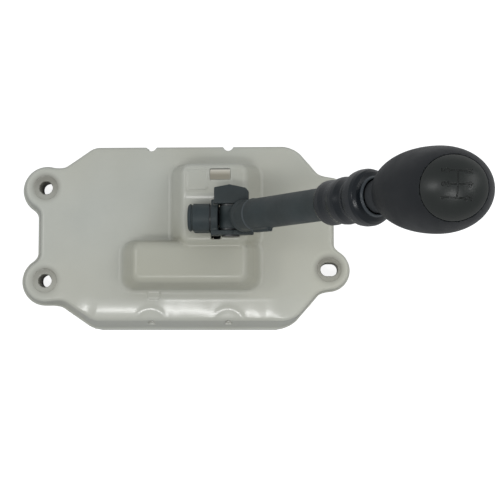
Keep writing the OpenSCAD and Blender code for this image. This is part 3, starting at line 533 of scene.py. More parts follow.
# the top rolls over towards the left edge, with slow waves and a shallow arch round each notch
roll = {
    "flat": (76, 14), "start": (0.089, 0.00065), "waves": ((0.006, 3.1, 0), (0.005, 1.9, 1)), "rate": (0.015, 0.0105),
    "lip": 0.13, "soft": 0.8, "across": (24, 16), "from": (22, 12), "to": (168, 12),
    "archAt": (10.5, 2.2), "dip": (0.25, 6.5),
}
dome = {
    "box": ((89.1, -10.0), (152.6, 48.6), (98.1, -10.0), (145.1, 46.0), 42.0, 46.0),
    "foot": ((54.1, -40.0), (152.6, -5.0), (64.1, -36.0), (145.1, -7.0), 39.0, 43.0),
    "corner": (8.5, 7.0), "edge": 5.5, "blend": 2.4, "base": 17.5, "wall": 3.0, "thinnest": 1.4,
    "room": ((99.5, -19, 14), (143.1, 5, 40)),
}
# ribs, crank boss and spring post under the tray
inside = {
    "rib": 1.1, "ribMiddle": 12, "ribHalf": 3.5, "longRibs": ((24, -2.7, 55), (16, 152, 202.4)),
    "cross": (25, 177, 46), "short": (89, 115.5), "shortEnds": ((48, 59.8), (-60.6, -39.5)),
    "crank": (109.1, -7), "crankBoss": (6.3, 30), "crankHole": (4.02, 37.5),
    "post": ((102.0, -21, 30.5), (116.2, -18.5, 44)),
}
# openings and shallow forms in the dome's roof
roof = {
    "height": 46, "field": ((101.6, 26.5), (133.3, 42.7), 45.3), "pad": ((102.9, 28.0), (116.8, 41.4)),
    "step": 0.55, "slot": ((118.6, 34.8), (132.4, 41.8)), "through": 38,
    "opening": ((119.6, -6.1), (126.0, 17.4)), "openingRear": ((119.6, -3.4), (140.9, 17.4)),
    "screws": (116.1, 6.9), "screwHole": 2.0, "screwSeat": (3.5, 23, 43),
    "stepAt": (24.4, 99, -2), "stepSoft": (3.2, 3, 6),
}


# plan of the tray, wider at its foot on the left and in front
def trayOutline(x, y, z):
    foot = np.clip(1 - z / tray["flareTop"], 0, None)
    ahead = tray["frontFlare"] * foot
    side = np.abs(y)
    rim = side - tray["halfWidth"] - np.where(y < 0, tray["leftFlare"] * foot, 0)
    for (cx, r, turn), share, widen in zip(tray["corners"], (0.3, 0), (0.8, 0)):
        nx, ny = math.cos(math.radians(turn)), math.sin(math.radians(turn))
        stand = np.where(y < 0, widen * tray["leftFlare"] * foot, 0)
        edge = nx * (x - cx) + ny * (side - tray["halfWidth"] - stand + r) - r
        rim = common(rim, edge - share * ahead, r * (1 - ny))
    (frontX, frontY), (rearX, rearY) = tray["lugs"]
    frontLug = np.hypot(x - frontX + 0.65 * ahead, side - frontY) - tray["lugRadius"][0] - 0.35 * ahead
    rearLug = np.hypot(x - rearX, side - rearY) - tray["lugRadius"][1]
    front = joined(tray["front"] - ahead - x, frontLug, 4.6)
    rear = joined(x - tray["rear"], rearLug, 4.7)
    sides = joined(joined(rim, frontLug, 7.2), rearLug, 5.9)
    return np.maximum(np.maximum(front, rear), sides)


def smooth(t):
    t = np.clip(t, 0, 1)
    return t * t * (3 - 2 * t)


# how far the flat top drops beside its left edge
def bevelDrop(x, y, inward, notch):
    t = smooth((x - roll["flat"][0]) / roll["flat"][1])
    wave = sum(depth * np.sin(x / length + phase) for depth, length, phase in roll["waves"])
    start = 0.02 + (roll["start"][0] - roll["start"][1] * (x - 80) + wave) * t
    rate = roll["rate"][0] - roll["rate"][1] * t
    q = tray["bevel"] - inward
    lip = roll["lip"] * smooth((q + 1.4) / 2.8) * t
    q = 0.5 * (q + np.sqrt(q * q + roll["soft"]))
    share = smooth((-y - roll["across"][0]) / roll["across"][1])
    share = share * smooth((x - roll["from"][0]) / roll["from"][1]) * smooth((roll["to"][0] - x) / roll["to"][1])
    arch = tray["arch"] * np.exp(-((notch - roll["archAt"][0]) / roll["archAt"][1]) ** 2)
    arch = arch - roll["dip"][0] * np.exp(-(notch / roll["dip"][1]) ** 2)
    return share * (np.clip(start, 0.01, 1) * q + rate / 2 * q * q + lip - arch)


# box with leaning walls
def leaning(x, y, z, shape, inset, edge):
    low, high, topLow, topHigh, shoulder, top = shape
    t = np.clip((z - dome["base"]) / (shoulder - dome["base"]), 0, 1)
    a = [low[i] + (topLow[i] - low[i]) * t + inset for i in (0, 1)]
    b = [high[i] + (topHigh[i] - high[i]) * t - inset for i in (0, 1)]
    corner = dome["corner"][0] + (dome["corner"][1] - dome["corner"][0]) * t - inset
    return common(rect(x, y, a, b, np.maximum(corner, 1.0)), z - top + inset, edge)


# bolt holes and slots, their sunk seats, and the distance to the nearest one
def lugHoles(x, y, z):
    side = np.abs(y)
    (frontX, frontY), (rearX, rearY) = tray["lugs"]
    hole = np.hypot(x - frontX, side - frontY) - tray["holeRadius"]
    along = np.maximum(np.abs(x - rearX) - tray["slotReach"], 0)
    slot = np.hypot(along, side - rearY) - tray["holeRadius"]
    seat = np.minimum(np.hypot(x - frontX, side - frontY), np.hypot(x - rearX, side - rearY))
    sunk = common(seat - tray["seatRadius"], tray["height"] - tray["seatDepth"] - z, 0.35)
    return np.minimum(hole, slot), sunk, seat


def fromScrew(x, y):
    return np.hypot(x - roof["screws"][0], np.abs(y - pivot.y) - roof["screws"][1])


def housing(x, y, z):
    side = np.abs(y)
    edge = trayOutline(x, y, z)
    holes, sunk, seat = lugHoles(x, y, z)
    notchX = np.minimum(np.abs(x - tray["notches"][0]), np.abs(x - tray["notches"][1]))
    rightNotch = np.hypot(notchX, y - tray["notchY"][0])
    leftNotch = np.hypot(notchX, y - tray["notchY"][1])
    # the top falls away to its edge, and bends down early along the left side
    crown = tray["crown"] * np.clip(1 + edge / tray["crownReach"], 0, 1) ** 2
    depth, reach, soft = tray["dish"]
    dish = depth * smooth((reach - seat) / soft)
    top = z - (tray["height"] - crown - dish - bevelDrop(x, y, -edge, leftNotch))
    body = common(edge, top, tray["edge"])
    body = joined(body, common(edge - tray["lip"][0], z - tray["lip"][1], 0.6), 0.8)
    box = leaning(x, y, z, dome["box"], 0, dome["edge"])
    foot = leaning(x, y, z, dome["foot"], 0, dome["edge"])
    body = joined(body, joined(box, foot, 2.0), dome["blend"])
    # low pad beside the foot
    low, high, height = tray["low"]
    body = joined(body, common(rect(x, y, low, high, 1.5), z - height, 0.5), 0.8)

    hollow = common(edge + tray["wall"], z - (tray["height"] - tray["wall"]), 1.5)
    towers = np.minimum(rightNotch - tray["notch"], leftNotch - tray["leftNotch"]) - tray["wall"]
    for (lugX, lugY), radius in zip(tray["lugs"], tray["tower"]):
        towers = np.minimum(towers, np.hypot(x - lugX, side - lugY) - radius)
    hollow = cut(hollow, towers, 1.0)
    box = leaning(x, y, z, dome["box"], dome["wall"], 1.5)
    foot = leaning(x, y, z, dome["foot"], dome["wall"], 1.5)
    inner = joined(box, foot, 1.5)
    inner = np.minimum(inner, block(x, y, z, *dome["room"], 0.6))
    inner = np.maximum(inner, body + dome["thinnest"])
    hollow = joined(hollow, inner, 1.5)

    half = inside["rib"]
    cross = np.minimum(np.abs(x - inside["cross"][0]), np.abs(x - inside["cross"][1])) - half
    ribs = np.maximum(cross, side - inside["cross"][2])
    for middle, start, end in inside["longRibs"]:
        ribs = np.minimum(ribs, np.maximum(np.abs(side - middle) - half, within(x, start, end)))
    for middle in inside["short"]:
        for ends in inside["shortEnds"]:
            ribs = np.minimum(ribs, np.maximum(np.abs(x - middle) - half, within(y, *ends)))
    hollow = cut(hollow, np.maximum(ribs, np.abs(z - inside["ribMiddle"]) - inside["ribHalf"]), 0.6)
    crank = np.hypot(x - inside["crank"][0], y - inside["crank"][1])
    hollow = cut(hollow, np.maximum(crank - inside["crankBoss"][0], inside["crankBoss"][1] - z), 0.8)
    hollow = cut(hollow, block(x, y, z, *inside["post"], 0.4), 0.6)

    body = cut(body, hollow, 0.5)
    body = np.maximum(body, -z)
    body = cut(body, holes, 0.5)
    body = cut(body, sunk, 0.4)
    body = cut(body, rightNotch - tray["notch"], 0.6)
    body = cut(body, common(leftNotch - tray["leftNotch"], tray["leftNotchFloor"] - z, 0.5), 0.6)

    # sunk field with its pad, the slot and the opening under the rocker
    through = roof["through"] - z
    field = common(rect(x, y, *roof["field"][:2], 2.0), roof["field"][2] - z, 0.8)
    body = cut(body, cut(field, rect(x, y, *roof["pad"], 1.6), 0.8), 0.9)
    (right, front, left), (a, b, c) = roof["stepAt"], roof["stepSoft"]
    lower = roof["step"] * smooth((right - y) / a) * smooth((x - front) / b) * smooth((y - left) / c)
    body = cut(body, roof["height"] - lower - z, 0.4)
    body = cut(body, np.maximum(rect(x, y, *roof["slot"], 0.8), through), 0.5)
    opening = np.minimum(rect(x, y, *roof["opening"], 0.8), rect(x, y, *roof["openingRear"], 1.0))
    body = cut(body, np.maximum(opening, through), 0.6)
    screw = fromScrew(x, y)
    body = cut(body, np.maximum(screw - roof["screwHole"], through), 0.2)
    body = cut(body, bar(screw, z, *roof["screwSeat"], 0.2), 0.2)
    return cut(body, common(crank - inside["crankHole"][0], z - inside["crankHole"][1], 0.2), 0.4)


piece, points = skinOf("housing", housing, (-21, -69, -1), (216, 64, 47), tray["cell"])
x, y, z = points.T
# the left edge, one line across the roof and the rear wall are polished
polish = {"edge": (-44, 20, 20), "line": (22.8, 3, 100, 124, 44), "wall": (138, -8, 30), "wallShare": 0.6}
right, front, top = polish["edge"]
leftEdge = smooth((right - y) / 3) * smooth((x - front) / 8) * smooth((top - z) / 1.5)
middle, half, front, rear, bottom = polish["line"]
roofLine = (np.abs(y - middle) < half) * smooth((x - front) / 2) * smooth((rear - x) / 3) * (z > bottom)
front, right, bottom = polish["wall"]
rearWall = polish["wallShare"] * (x > front) * (z > bottom) * smooth((right - y) / 3)
addValues(piece, "gloss", np.maximum(np.maximum(leftEdge, roofLine), rearWall))
# painted shade round the bolt holes, darker on their right, where the walls of the sunk seats face away from the light
holeShade = {"reach": 12.5, "fade": 5.5, "middle": 30, "share": 0.7, "lean": 0.0375, "least": 0.4}
fade = smooth((holeShade["reach"] - lugHoles(x, y, z)[2]) / holeShade["fade"])
aside = y - np.where(y > 0, holeShade["middle"], -holeShade["middle"])
addValues(piece, "mark", fade * np.clip(holeShade["share"] + holeShade["lean"] * aside, holeShade["least"], 1))
dress(piece, "housing", "housing", "base", "base_housing")


barrel = {
    "front": 108.1, "end": 119.6, "radius": 9.5, "bore": 6.5, "crown": 3.4, "edge": 2.6, "seat": 46,
    "foot": ((-2.2, 44), (17.0, 51)), "recess": (8.5, 3.5), "capSpigot": (8.48, 7.1), "screw": (1.72, 50.6),
}


def barrelField(x, y, z):
    across = np.hypot(y - pivot.y, z - pivot.z)
    body = bar(across, x, barrel["radius"], barrel["front"], barrel["end"], 0.7)
    body = np.maximum(body, barrel["seat"] - z)
    low, high = barrel["foot"]
    body = joined(body, block(x, y, z, (barrel["front"],) + low, (barrel["end"],) + high, 0.8), 1.0)
    body = np.maximum(body, barrel["seat"] - z)
    radius, depth = barrel["recess"]
    body = cut(body, bar(across, x, radius, barrel["front"] - 2, barrel["front"] + depth, 0.1), 0.3)
    body = cut(body, across - barrel["bore"], 0.3)
    return cut(body, np.maximum(fromScrew(x, y) - barrel["screw"][0], z - barrel["screw"][1]), 0.1)


def barrelCapField(x, y, z):
    across = np.hypot(y - pivot.y, z - pivot.z)
    depth = barrel["front"] - x
    body = bar(across, -depth, barrel["radius"], -barrel["crown"], 0, barrel["edge"])
    outer, inner = barrel["capSpigot"]
    body = np.minimum(body, bar(across, x, outer, barrel["front"] - 1, barrel["front"] + 1, 0.2))
    body = cut(body, np.maximum(across - inner, barrel["front"] - 2 - x), 0.2)
    return np.maximum(body, barrel["seat"] - z)


piece, _ = skinOf("barrel", barrelField, (108, -3, 46), (120, 18, 65), 0.5)
dress(piece, "black", "black_plastic", "base", "bearing_barrel")
piece, _ = skinOf("barrelCap", barrelCapField, (104.5, -3, 46), (109.5, 18, 65), 0.45)
dress(piece, "black", "black_plastic", "base", "barrel_cap")


rocker = {
    "disc": (9.5, 120.4, 125.0), "trunnion": (5.0, 108.5, 122), "cheek": (-4.4, -1.4), "boss": 8,
    "nose": [(-13, -5.6), (0, -6), (8, -3), (15.5, 0.5), (15.2, 3), (11.5, 7), (5, 8), (-13, 5.6)],
    "blockAt": (122.5, 16.2), "block": [(0, 0), (23, 0), (23, 8.5), (21, 10.7), (10.35, 13), (0, 11)],
    "blockHeight": (50.5, 62.5), "bridge": ((120.4, 12.2, 50), (125.0, 19.2, 60)),
    "cheekRoot": ((120.4, -4.4, 49.4), (125.0, 1.6, 60.6)), "arm": ((120.6, -4.0, 31), (124.6, 2.0, 52)),
    "foot": ((120.6, -10, 31), (130.1, 2.0, 36)), "pinHole": (4.02, 26.3), "groove": (109.95, 0.5, 4.5),
    "studHole": (127.1, -7, 2.52, 35.3),
}


def rockerField(x, y, z):
    across = np.hypot(y - pivot.y, z - pivot.z)
    body = bar(across, x, *rocker["disc"], 0.7)
    body = joined(body, bar(across, x, *rocker["trunnion"], 0.3), 0.2)
    pin = np.hypot(x - pivotX, z - pivot.z)
    nose = np.minimum(pin - rocker["boss"], polygon(x - pivotX, z - pivot.z, rocker["nose"]))
    cheek = common(nose, within(y, *rocker["cheek"]), 0.7)
    body = joined(body, cheek, 1.2)
    outline = polygon(x - rocker["blockAt"][0], y - rocker["blockAt"][1], rocker["block"])
    solid = common(outline, within(z, *rocker["blockHeight"]), 0.9)
    body = joined(body, block(x, y, z, *rocker["cheekRoot"], 0.6), 0.8)
    body = joined(body, joined(solid, block(x, y, z, *rocker["bridge"], 0.6), 0.6), 0.8)
    body = joined(body, block(x, y, z, *rocker["arm"], 0.6), 0.6)
    body = joined(body, block(x, y, z, *rocker["foot"], 0.7), 0.8)
    body = cut(body, np.maximum(pin - rocker["pinHole"][0], y - rocker["pinHole"][1]), 0.3)
    middle, half, bottom = rocker["groove"]
    body = cut(body, np.maximum(np.abs(x - middle) - half, bottom - across), 0.05)
    studX, studY, radius, top = rocker["studHole"]
    return cut(body, np.maximum(np.hypot(x - studX, y - studY) - radius, z - top), 0.1)


piece, _ = skinOf("rocker", rockerField, (108, -11, 30.5), (150, 30, 66), 0.6)
dress(piece, "black", "black_plastic", "rocker", "rocker_yoke")


sinLean, cosLean = math.sin(leverLean), math.cos(leverLean)


def leverSpace(x, y, z):
    dx, dz = x - pivot.x, z - pivot.z
    return dx * cosLean - dz * sinLean, y - pivot.y, dx * sinLean + dz * cosLean


hub = {
    "radius": 7.9, "sides": (-0.1, 14.9), "socket": (7.2, 36), "arm": 4.0, "eyeHeight": 18, "eye": (6.0, 2.7, 12.1),
    "bore": 5.62, "rodBore": (5.52, 7.6), "studBore": 2.52,
}


def hubField(x, y, z):
    u, v, s = leverSpace(x, y, z)
    low = np.hypot(x - pivotX, z - pivot.z)
    body = bar(low, y, hub["radius"], *hub["sides"], 0.5)
    body = joined(body, bar(np.hypot(u, v), s, hub["socket"][0], 0, hub["socket"][1], 0.5), 1.5)
    arm = bar(np.hypot(x - pivotX, y - pivot.y), z, hub["arm"], hub["eyeHeight"], pivot.z, 0.1)
    body = joined(body, arm, 1.2)
    eye = np.hypot(x - pivotX, z - hub["eyeHeight"])
    body = joined(body, bar(eye, y, *hub["eye"], 0.6), 1.5)
    body = cut(body, low - hub["bore"], 0.3)
    body = cut(body, np.maximum(np.hypot(u, v) - hub["rodBore"][0], hub["rodBore"][1] - s), 0.3)
    return cut(body, eye - hub["studBore"], 0.3)


piece, _ = skinOf("hub", hubField, (125, -0.5, 11.5), (163, 16.5, 90), 0.6)
dress(piece, "black", "black_plastic", "lever", "lever_hub")

tube = {
    "start": 14.5, "end": 111.0, "low": 10.2, "high": 10.0, "taper": (17.7, 92),
    "foot": (10.6, 14.5, 17.1), "seam": (10.55, 27.4, 28.4), "bores": (8.4, 6.5, 8.0), "steps": (48.5, 40, 103),
    "finger": [(-9.2, 26), (-10.8, 26), (-12.0, 29), (-12.3, 44.6), (-12.0, 45), (-9.2, 45)], "fingerHalf": 2.0,
    "seamGlint": (27.9, 0.9),
}


def tubeField(u, v, s):
    across = np.hypot(u, v)
    t = np.clip((s - tube["taper"][0]) / (tube["taper"][1] - tube["taper"][0]), 0, 1)
    radius = tube["low"] + (tube["high"] - tube["low"]) * t
    outer = common(across - radius, within(s, tube["start"], tube["end"]), 0.4)
    outer = joined(outer, bar(across, s, *tube["foot"], 0.5), 0.8)
    outer = joined(outer, bar(across, s, *tube["seam"], 0.3), 0.4)
    # stop finger on the left side
    finger = polygon(v, s, tube["finger"])
    outer = joined(outer, common(finger, np.abs(u) - tube["fingerHalf"], 0.5), 0.8)
    low, middle, high = tube["bores"]
    lowEnd, middleStart, highStart = tube["steps"]
    bore = np.minimum(np.maximum(across - low, s - lowEnd), np.maximum(across - middle, middleStart - s))
    bore = np.minimum(bore, np.maximum(across - high, highStart - s))
    return cut(outer, bore, 0.3)


piece, points = skinOf("liftTube", tubeField, (-12, -14.2, 14), (12, 12, 111.5), 0.75, leverPlace)
# painted highlight: the seam ring is coloured lighter where its edge would catch the light
middle, half = tube["seamGlint"]
addValues(piece, "mark", smooth((half - np.abs(points[:, 2] - middle)) / 0.5))
dress(piece, "black", "black_plastic", "lift_sleeve", "lift_tube")

# radius, height above the start and corner radius, up the outside and down the inside
collar = {
    "start": 104.5, "steps": 128, "lip": 42.1, "flangeGlintBand": (30.2, 0.9),
    "profile": [
        (10.02, 0, 0.2), (11.6, 0, 0.6), (12.9, 0.9, 0.8), (13.5, 2.6, 1.5), (13.5, 5.6, 1.5), (13.2, 7.6, 1.5),
        (12.9, 10.0, 2.0), (13.1, 12.4, 1.5), (13.9, 15.2, 2), (14.1, 17.6, 2), (13.8, 20.0, 1.5), (12.9, 22.4, 1.2),
        (12.3, 24.2, 0.8), (12.6, 26.0, 1), (14.6, 28.8, 1.5), (16.0, 31.2, 1.5), (16.5, 34, 2), (16.5, 37.4, 2),
        (15.8, 39.8, 1.5), (14.2, 41.3, 1.5), (12.4, 42.1, 0.6), (11.7, 42.3, 0.4), (11.3, 43.1, 0.3),
        (10.8, 43.5, 0.3), (10.3, 43.3, 0.3), (9.8, 42.2, 0.4), (9.8, 8.5, 0.3), (6.3, 8.5, 0.3), (6.3, 6.55, 0.2),
        (10.02, 6.55, 0.2),
    ],
}
collarPlace = leverPlace @ Matrix.Translation((0, 0, collar["start"]))
piece = spun("liftCollar", collar["profile"], collar["steps"], collarPlace)
# painted highlights: the lip of the mouth and the low edge of the flange are coloured lighter where they would catch
# the light
back = collarPlace.inverted()
along = np.array([(back @ (v.co / mm)).z for v in piece.data.vertices])
middle, half = collar["flangeGlintBand"]
flangeGlint = 0.5 * smooth((half - np.abs(along - middle)) / half)
addValues(piece, "mark", np.maximum(smooth((along - collar["lip"]) / 0.3), flangeGlint))
dress(piece, "collar", "collar_plastic", "lift_sleeve", "lift_collar")


knob = {
    "dist": 195.0, "radius": 23.5, "low": 44.0, "lowPower": 2.1, "top": 34.7, "topPower": 2.15,
    "tilt": math.radians(4.7), "leanPoint": 14.0, "bottom": -37.0, "neck": (9.45, -47.8, -30),
    "rodBore": (5.8, -30), "insertBore": (8, -31, 14), "neckLift": -39.5,
    "capTilt": math.radians(33), "capDist": 20.8, "capAt": 4.4, "capRadius": 17.1, "gap": 0.05,
    "spigot": 12.0, "spigotAt": 5.0, "spigotDepth": 2.6,
}
knobPlace = (leverPlace @ Matrix.Translation((0, 0, knob["dist"] - knob["leanPoint"]))
             @ Matrix.Rotation(knob["tilt"], 4, "X") @ Matrix.Translation((0, 0, knob["leanPoint"])))
capPlace = knobPlace @ Matrix.Rotation(-knob["capTilt"], 4, "Y") @ Matrix.Translation((0, 0, knob["capDist"]))


def egg(x, y, z):
    power = np.where(z < 0, knob["lowPower"], knob["topPower"])
    long = np.where(z < 0, knob["low"], knob["top"])
    across = np.hypot(x, y) / knob["radius"] + 1e-4
    along = np.abs(z) / long + 1e-4
    total = across ** power + along ** power
    size = total ** (1 / power)
    steep = np.hypot(across ** (power - 1) / knob["radius"], along ** (power - 1) / long) * total ** (1 / power - 1)
    return (size - 1) / np.maximum(steep, 1e-4)


def capSpace(x, y, z):
    c, s = math.cos(knob["capTilt"]), math.sin(knob["capTilt"])
    return c * x + s * z, y, -s * x + c * z - knob["capDist"]


# the cap is a round plate let into the egg
def capEdge(a, b, up):
    return np.maximum(np.hypot(a - knob["capAt"], b) - knob["capRadius"], -up)


def knobField(x, y, z):
    a, b, up = capSpace(x, y, z)
    body = common(egg(x, y, z), knob["bottom"] - z, 1.8)
    # the neck keeps to the lever's own axis
    c, s = math.cos(knob["tilt"]), math.sin(knob["tilt"])
    h = z + knob["leanPoint"]
    across = np.hypot(x, y * c - h * s)
    along = y * s + h * c - knob["leanPoint"]
    body = joined(body, bar(across, along, *knob["neck"], 0.5), 1.5)
    body = cut(body, capEdge(a, b, up) - knob["gap"], 0.2)
    spigot = np.hypot(a - knob["spigotAt"], b) - knob["spigot"] - 0.02
    body = cut(body, np.maximum(spigot, -knob["spigotDepth"] - 0.1 - up), 0.2)
    body = cut(body, np.maximum(across - knob["rodBore"][0], along - knob["rodBore"][1]), 0.2)
    radius, bottom, top = knob["insertBore"]
    return cut(body, np.maximum(across - radius, within(along, bottom, top)), 0.1)


shift = {
    "at": (4.7, 1.4), "across": 6.9, "rows": 11.5, "digit": 3.3, "narrow": 0.75, "gap": 0.9,
    "line": 0.3, "depth": 0.3,
}
glyphs = {
    "1": [[(0.28, 0.8), (0.55, 1), (0.55, 0)]],
    "2": [[(0.1, 0.78), (0.25, 0.95), (0.5, 1), (0.8, 0.92), (0.88, 0.7), (0.75, 0.48), (0.1, 0), (0.9, 0)]],
    "3": [[(0.1, 0.85), (0.3, 0.98), (0.55, 1), (0.8, 0.9), (0.85, 0.72), (0.7, 0.56), (0.4, 0.52)],
          [(0.4, 0.52), (0.75, 0.46), (0.9, 0.27), (0.8, 0.08), (0.5, 0), (0.2, 0.03), (0.08, 0.16)]],
    "4": [[(0.7, 0), (0.7, 1), (0.08, 0.3), (0.95, 0.3)]],
    "5": [[(0.85, 1), (0.25, 1), (0.18, 0.55), (0.5, 0.62), (0.8, 0.52), (0.9, 0.3), (0.78, 0.08), (0.45, 0),
           (0.1, 0.1)]],
    "R": [[(0.15, 0), (0.15, 1), (0.6, 1), (0.85, 0.88), (0.85, 0.64), (0.6, 0.52), (0.15, 0.52)],
          [(0.5, 0.52), (0.9, 0)]],
}


# gear pattern on the cap: up is towards the front of the car
def patternLines():
    lines = []
    gate = shift["rows"] / 2 - shift["digit"] / 2 - shift["gap"]
    for column, pair in enumerate(("12", "34", "5R")):
        across = (column - 1) * shift["across"]
        for name, row in zip(pair, (1, -1)):
            for path in glyphs[name]:
                lines.append([(row * shift["rows"] / 2 + (q - 0.5) * shift["digit"],
                               across + (p - 0.5) * shift["digit"] * shift["narrow"]) for p, q in path])
        lines.append([(-gate, across), (gate, across)])
    lines.append([(0, -shift["across"]), (0, shift["across"])])
    return lines


capLines = patternLines()


def capMark(a, b):
    best = np.full(np.shape(a), 1e9)
    for line in capLines:
        best = np.minimum(best, stroke(shift["at"][0] - a, b - shift["at"][1], line))
    return best - shift["line"]


def capField(a, b, up):
    c, s = math.cos(knob["capTilt"]), math.sin(knob["capTilt"])
    w = up + knob["capDist"]
    shell = egg(c * a - s * w, b, s * a + c * w)
    body = common(shell, capEdge(a, b, up - 0.02), 0.2)
    spigot = bar(np.hypot(a - knob["spigotAt"], b), up, knob["spigot"], -knob["spigotDepth"], 1.5, 0.2)
    body = np.minimum(body, spigot)
    near = shell > -3
    mark = np.full(np.shape(a), 5.0)
    mark[near] = capMark(a[near], b[near])
    return cut(body, np.maximum(mark, -shell - shift["depth"]), 0.12)


piece, points = skinOf("knobBody", knobField, (-24, -24, -49), (24, 24, 36), 0.7, knobPlace)
# painted light: the neck is coloured lighter to lift the shade the collar and knob cast on it
addValues(piece, "mark", smooth((knob["neckLift"] - points[:, 2]) / 3))
dress(piece, "knob", "knob_plastic", "lever", "knob_body")
cell = 0.3
piece, points = skinOf("knobCap", capField, (-13.5, -18, -2.8), (22, 18, 13.5), cell, capPlace)
# the engraved lines are coloured darker
engraved = (capMark(points[:, 0], points[:, 1]) < 0.08) & (points[:, 2] > 3)
addValues(piece, "mark", np.where(engraved, 1.0, 0.0))
dress(piece, "cap", "cap_plastic", "lever", "knob_cap")


def helix(spring):
    turn = np.linspace(0, spring["turns"], spring["steps"])
    return np.stack([spring["radius"] * np.cos(2 * np.pi * turn), spring["radius"] * np.sin(2 * np.pi * turn),
                     spring["start"] + spring["rise"] * turn / spring["turns"]], 1)


lift = {
    "radius": 7.5, "wire": 0.7, "start": 113.75, "rise": 31.0, "turns": 7, "steps": 197, "end": 1.4, "anchor": 145.5,
}
coil = helix(lift)
path = np.concatenate([[coil[0] - (0, lift["end"], 0)], coil, [coil[-1] + (0, lift["end"], 0)]])
piece = wireAlong("liftSpring", path, lift["wire"], 12, leverPlace)
dress(piece, "blackSteel", "spring_steel", "lever", "lift_spring")
top = leverPlace @ Vector((0, 0, lift["anchor"]))
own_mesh(piece)

centring = {"radius": 8.0, "wire": 0.6, "start": 31.4, "rise": 6.65, "turns": 3.5, "steps": 99, "leg": 21.0}
coil = helix(centring)
leg = np.linspace(1, 1 / 12, 12)[:, None] * (0, -centring["leg"], 0)
path = np.concatenate([coil[0] + leg, coil, coil[-1] + leg[::-1]])
piece = wireAlong("centringSpring", path + (*inside["crank"], 0), centring["wire"], 12)
dress(piece, "springSteel", "spring_steel", "base", "centring_spring")


small = {
    "steel": ("bellcrank_pin", "select_ball", "lever_rod"),
    "zinc": ("barrel_screws", "bellcrank_washer", "thrust_washer", "shift_stud", "select_stud"),
    "springSteel": ("bellcrank_circlip", "rocker_circlip"),
    "blackSteel": ("cross_pin", "spring_seat"),
    "brass": ("knob_insert",),
    "bushing": ("barrel_bush_front", "guide_bush_lower", "bellcrank_bush"),
    "darkBushing": ("barrel_bush_rear", "pivot_bush_left", "pivot_bush_right", "guide_bush_upper"),
    "crank": ("bellcrank",),
}
# small chamfers catch the light on every sharp edge
edges = {"width": 0.15, "crankWidth": 0.35, "segments": 2, "angle": math.radians(50)}
for material, nodes in small.items():
    for node in nodes:
        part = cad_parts[node]
        if not part.material_slots:
            part.data.materials.append(paint[material])
        for holder in part.material_slots:
            holder.material = paint[material]
        bevel = part.modifiers.new("edges", "BEVEL")
        bevel.width = edges["crankWidth" if material == "crank" else "width"] * mm
        bevel.segments = edges["segments"]
        bevel.limit_method = "ANGLE"
        bevel.angle_limit = edges["angle"]
print("pieces done,", sum(map(len, small.values())), "of them solids of the frame")


# lengths in the studio are metres
studio = {
    "air": (0.93, 0.97, 1.0, 1), "airPower": 0.67, "floor": 6.0, "floorHeight": -0.0006,
    "paper": (0.35, 0.35, 0.35, 1), "shade": (1, 0.95, 0.78, 1), "paperPower": (0.88, 0.24),
    "middle": 0.1, "long": 1.7, "shadeEdge": (0.075, 0.09), "mirrorEdge": (0.12, 0.4), "mirrorPower": 0.6,
}
white = (1, 1, 1, 1)
world = bpy.data.worlds.new("studio")
bpy.context.scene.world = world
world.use_nodes = True
tree = world.node_tree
tree.nodes.clear()
rays = addNode(tree, "ShaderNodeLightPath").outputs
seen = addNode(tree, "ShaderNodeMath", {0: rays["Is Camera Ray"], 1: rays["Is Transmission Ray"]}, operation="MAXIMUM")
backdrop = addNode(tree, "ShaderNodeBackground", {"Color": white, "Strength": 1.0})
air = addNode(tree, "ShaderNodeBackground", {"Color": studio["air"], "Strength": studio["airPower"]})
blend = addNode(tree, "ShaderNodeMixShader", {0: seen.outputs[0], 1: air.outputs[0], 2: backdrop.outputs[0]})
addNode(tree, "ShaderNodeOutputWorld", {"Surface": blend.outputs[0]})

size, height = studio["floor"] / mm, studio["floorHeight"] / mm
corners = [(-size, -size, height), (size, -size, height), (size, size, height), (-size, size, height)]
floor = newObject("floor", corners, [(0, 1, 2, 3)])
m = Recipe("floorPaper")
m.give("Base Color", studio["paper"])
m.give("Roughness", 0.9)
m.give("Specular IOR Level", 0.1)
rays = m.add("ShaderNodeLightPath").outputs
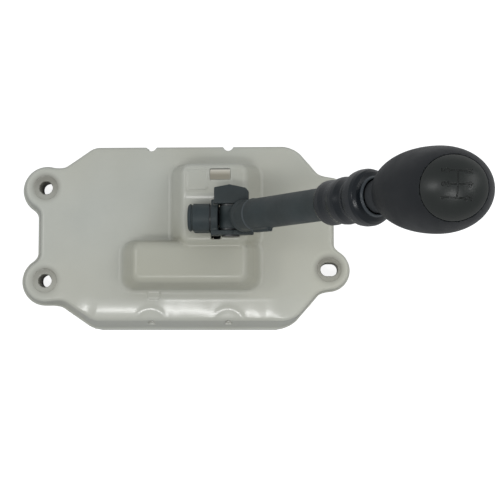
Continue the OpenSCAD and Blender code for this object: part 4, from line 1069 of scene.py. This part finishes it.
# the paper stays dark close under the object, further out for what reflects it
spot = m.add("ShaderNodeSeparateXYZ", {"Vector": m.place}).outputs
fromMiddle = m.math("ABSOLUTE", m.math("SUBTRACT", spot["X"], studio["middle"]), 0.0)
aside = m.math("MAXIMUM", fromMiddle, m.math("ABSOLUTE", m.math("MULTIPLY", spot["Y"], studio["long"]), 0.0))
under = m.ranged(aside, *studio["shadeEdge"], 1, 0)
m.give("Emission Color", m.mixed(under, white, studio["shade"]))
shown = m.math("MULTIPLY", m.ranged(under, 0, 1, *studio["paperPower"]), rays["Is Camera Ray"])
far = m.ranged(aside, *studio["mirrorEdge"], 0.0, studio["mirrorPower"])
m.give("Emission Strength", m.math("MAXIMUM", shown, m.math("MULTIPLY", far, rays["Is Glossy Ray"])))
floor.data.materials.append(m.material)

# place, aim, size and power
lamps = {
    "key": ((1.1, 0.5, 1.1), (0.1, 0, 0), (0.7, 0.7), 3.1),
    "sheen": ((-0.78, 0.12, 0.95), (0.25, 0, 0.24), (0.25, 0.25), 1.8),
    "strip": ((-0.02, -0.40, 1.25), (0.1, 0, 0), (0.42, 0.13), 2.9),
    "side": ((0.8, -0.05, 1.05), (0.15, 0, 0), (0.05, 0.3), 0.9),
}
for name, (at, aim, extent, power) in lamps.items():
    data = bpy.data.lights.new(name, "AREA")
    data.shape = "RECTANGLE"
    data.size, data.size_y = extent
    data.energy = power
    light = bpy.data.objects.new(name, data)
    light.location = at
    light.rotation_euler = (Vector(aim) - Vector(at)).to_track_quat("-Z", "Y").to_euler()
    bpy.context.scene.collection.objects.link(light)
print("studio done,", len(lamps), "lamps")

camera = bpy.data.objects.new("camera", bpy.data.cameras.new("camera"))
back = (view["eye"] - view["target"]).normalized()
right = Vector((0, 1, 0)).cross(back).normalized()
up = back.cross(right)
pose = Matrix((right, up, back)).transposed().to_4x4()
pose.translation = view["eye"] * mm
camera.matrix_world = pose
camera.data.lens = view["lens"]
camera.data.sensor_width = view["sensor"]
camera.data.sensor_fit = "HORIZONTAL"
camera.data.clip_start, camera.data.clip_end = view["clip"]
bpy.context.scene.collection.objects.link(camera)
bpy.context.scene.camera = camera
bpy.context.scene.view_settings.view_transform = "Standard"

print("finished")
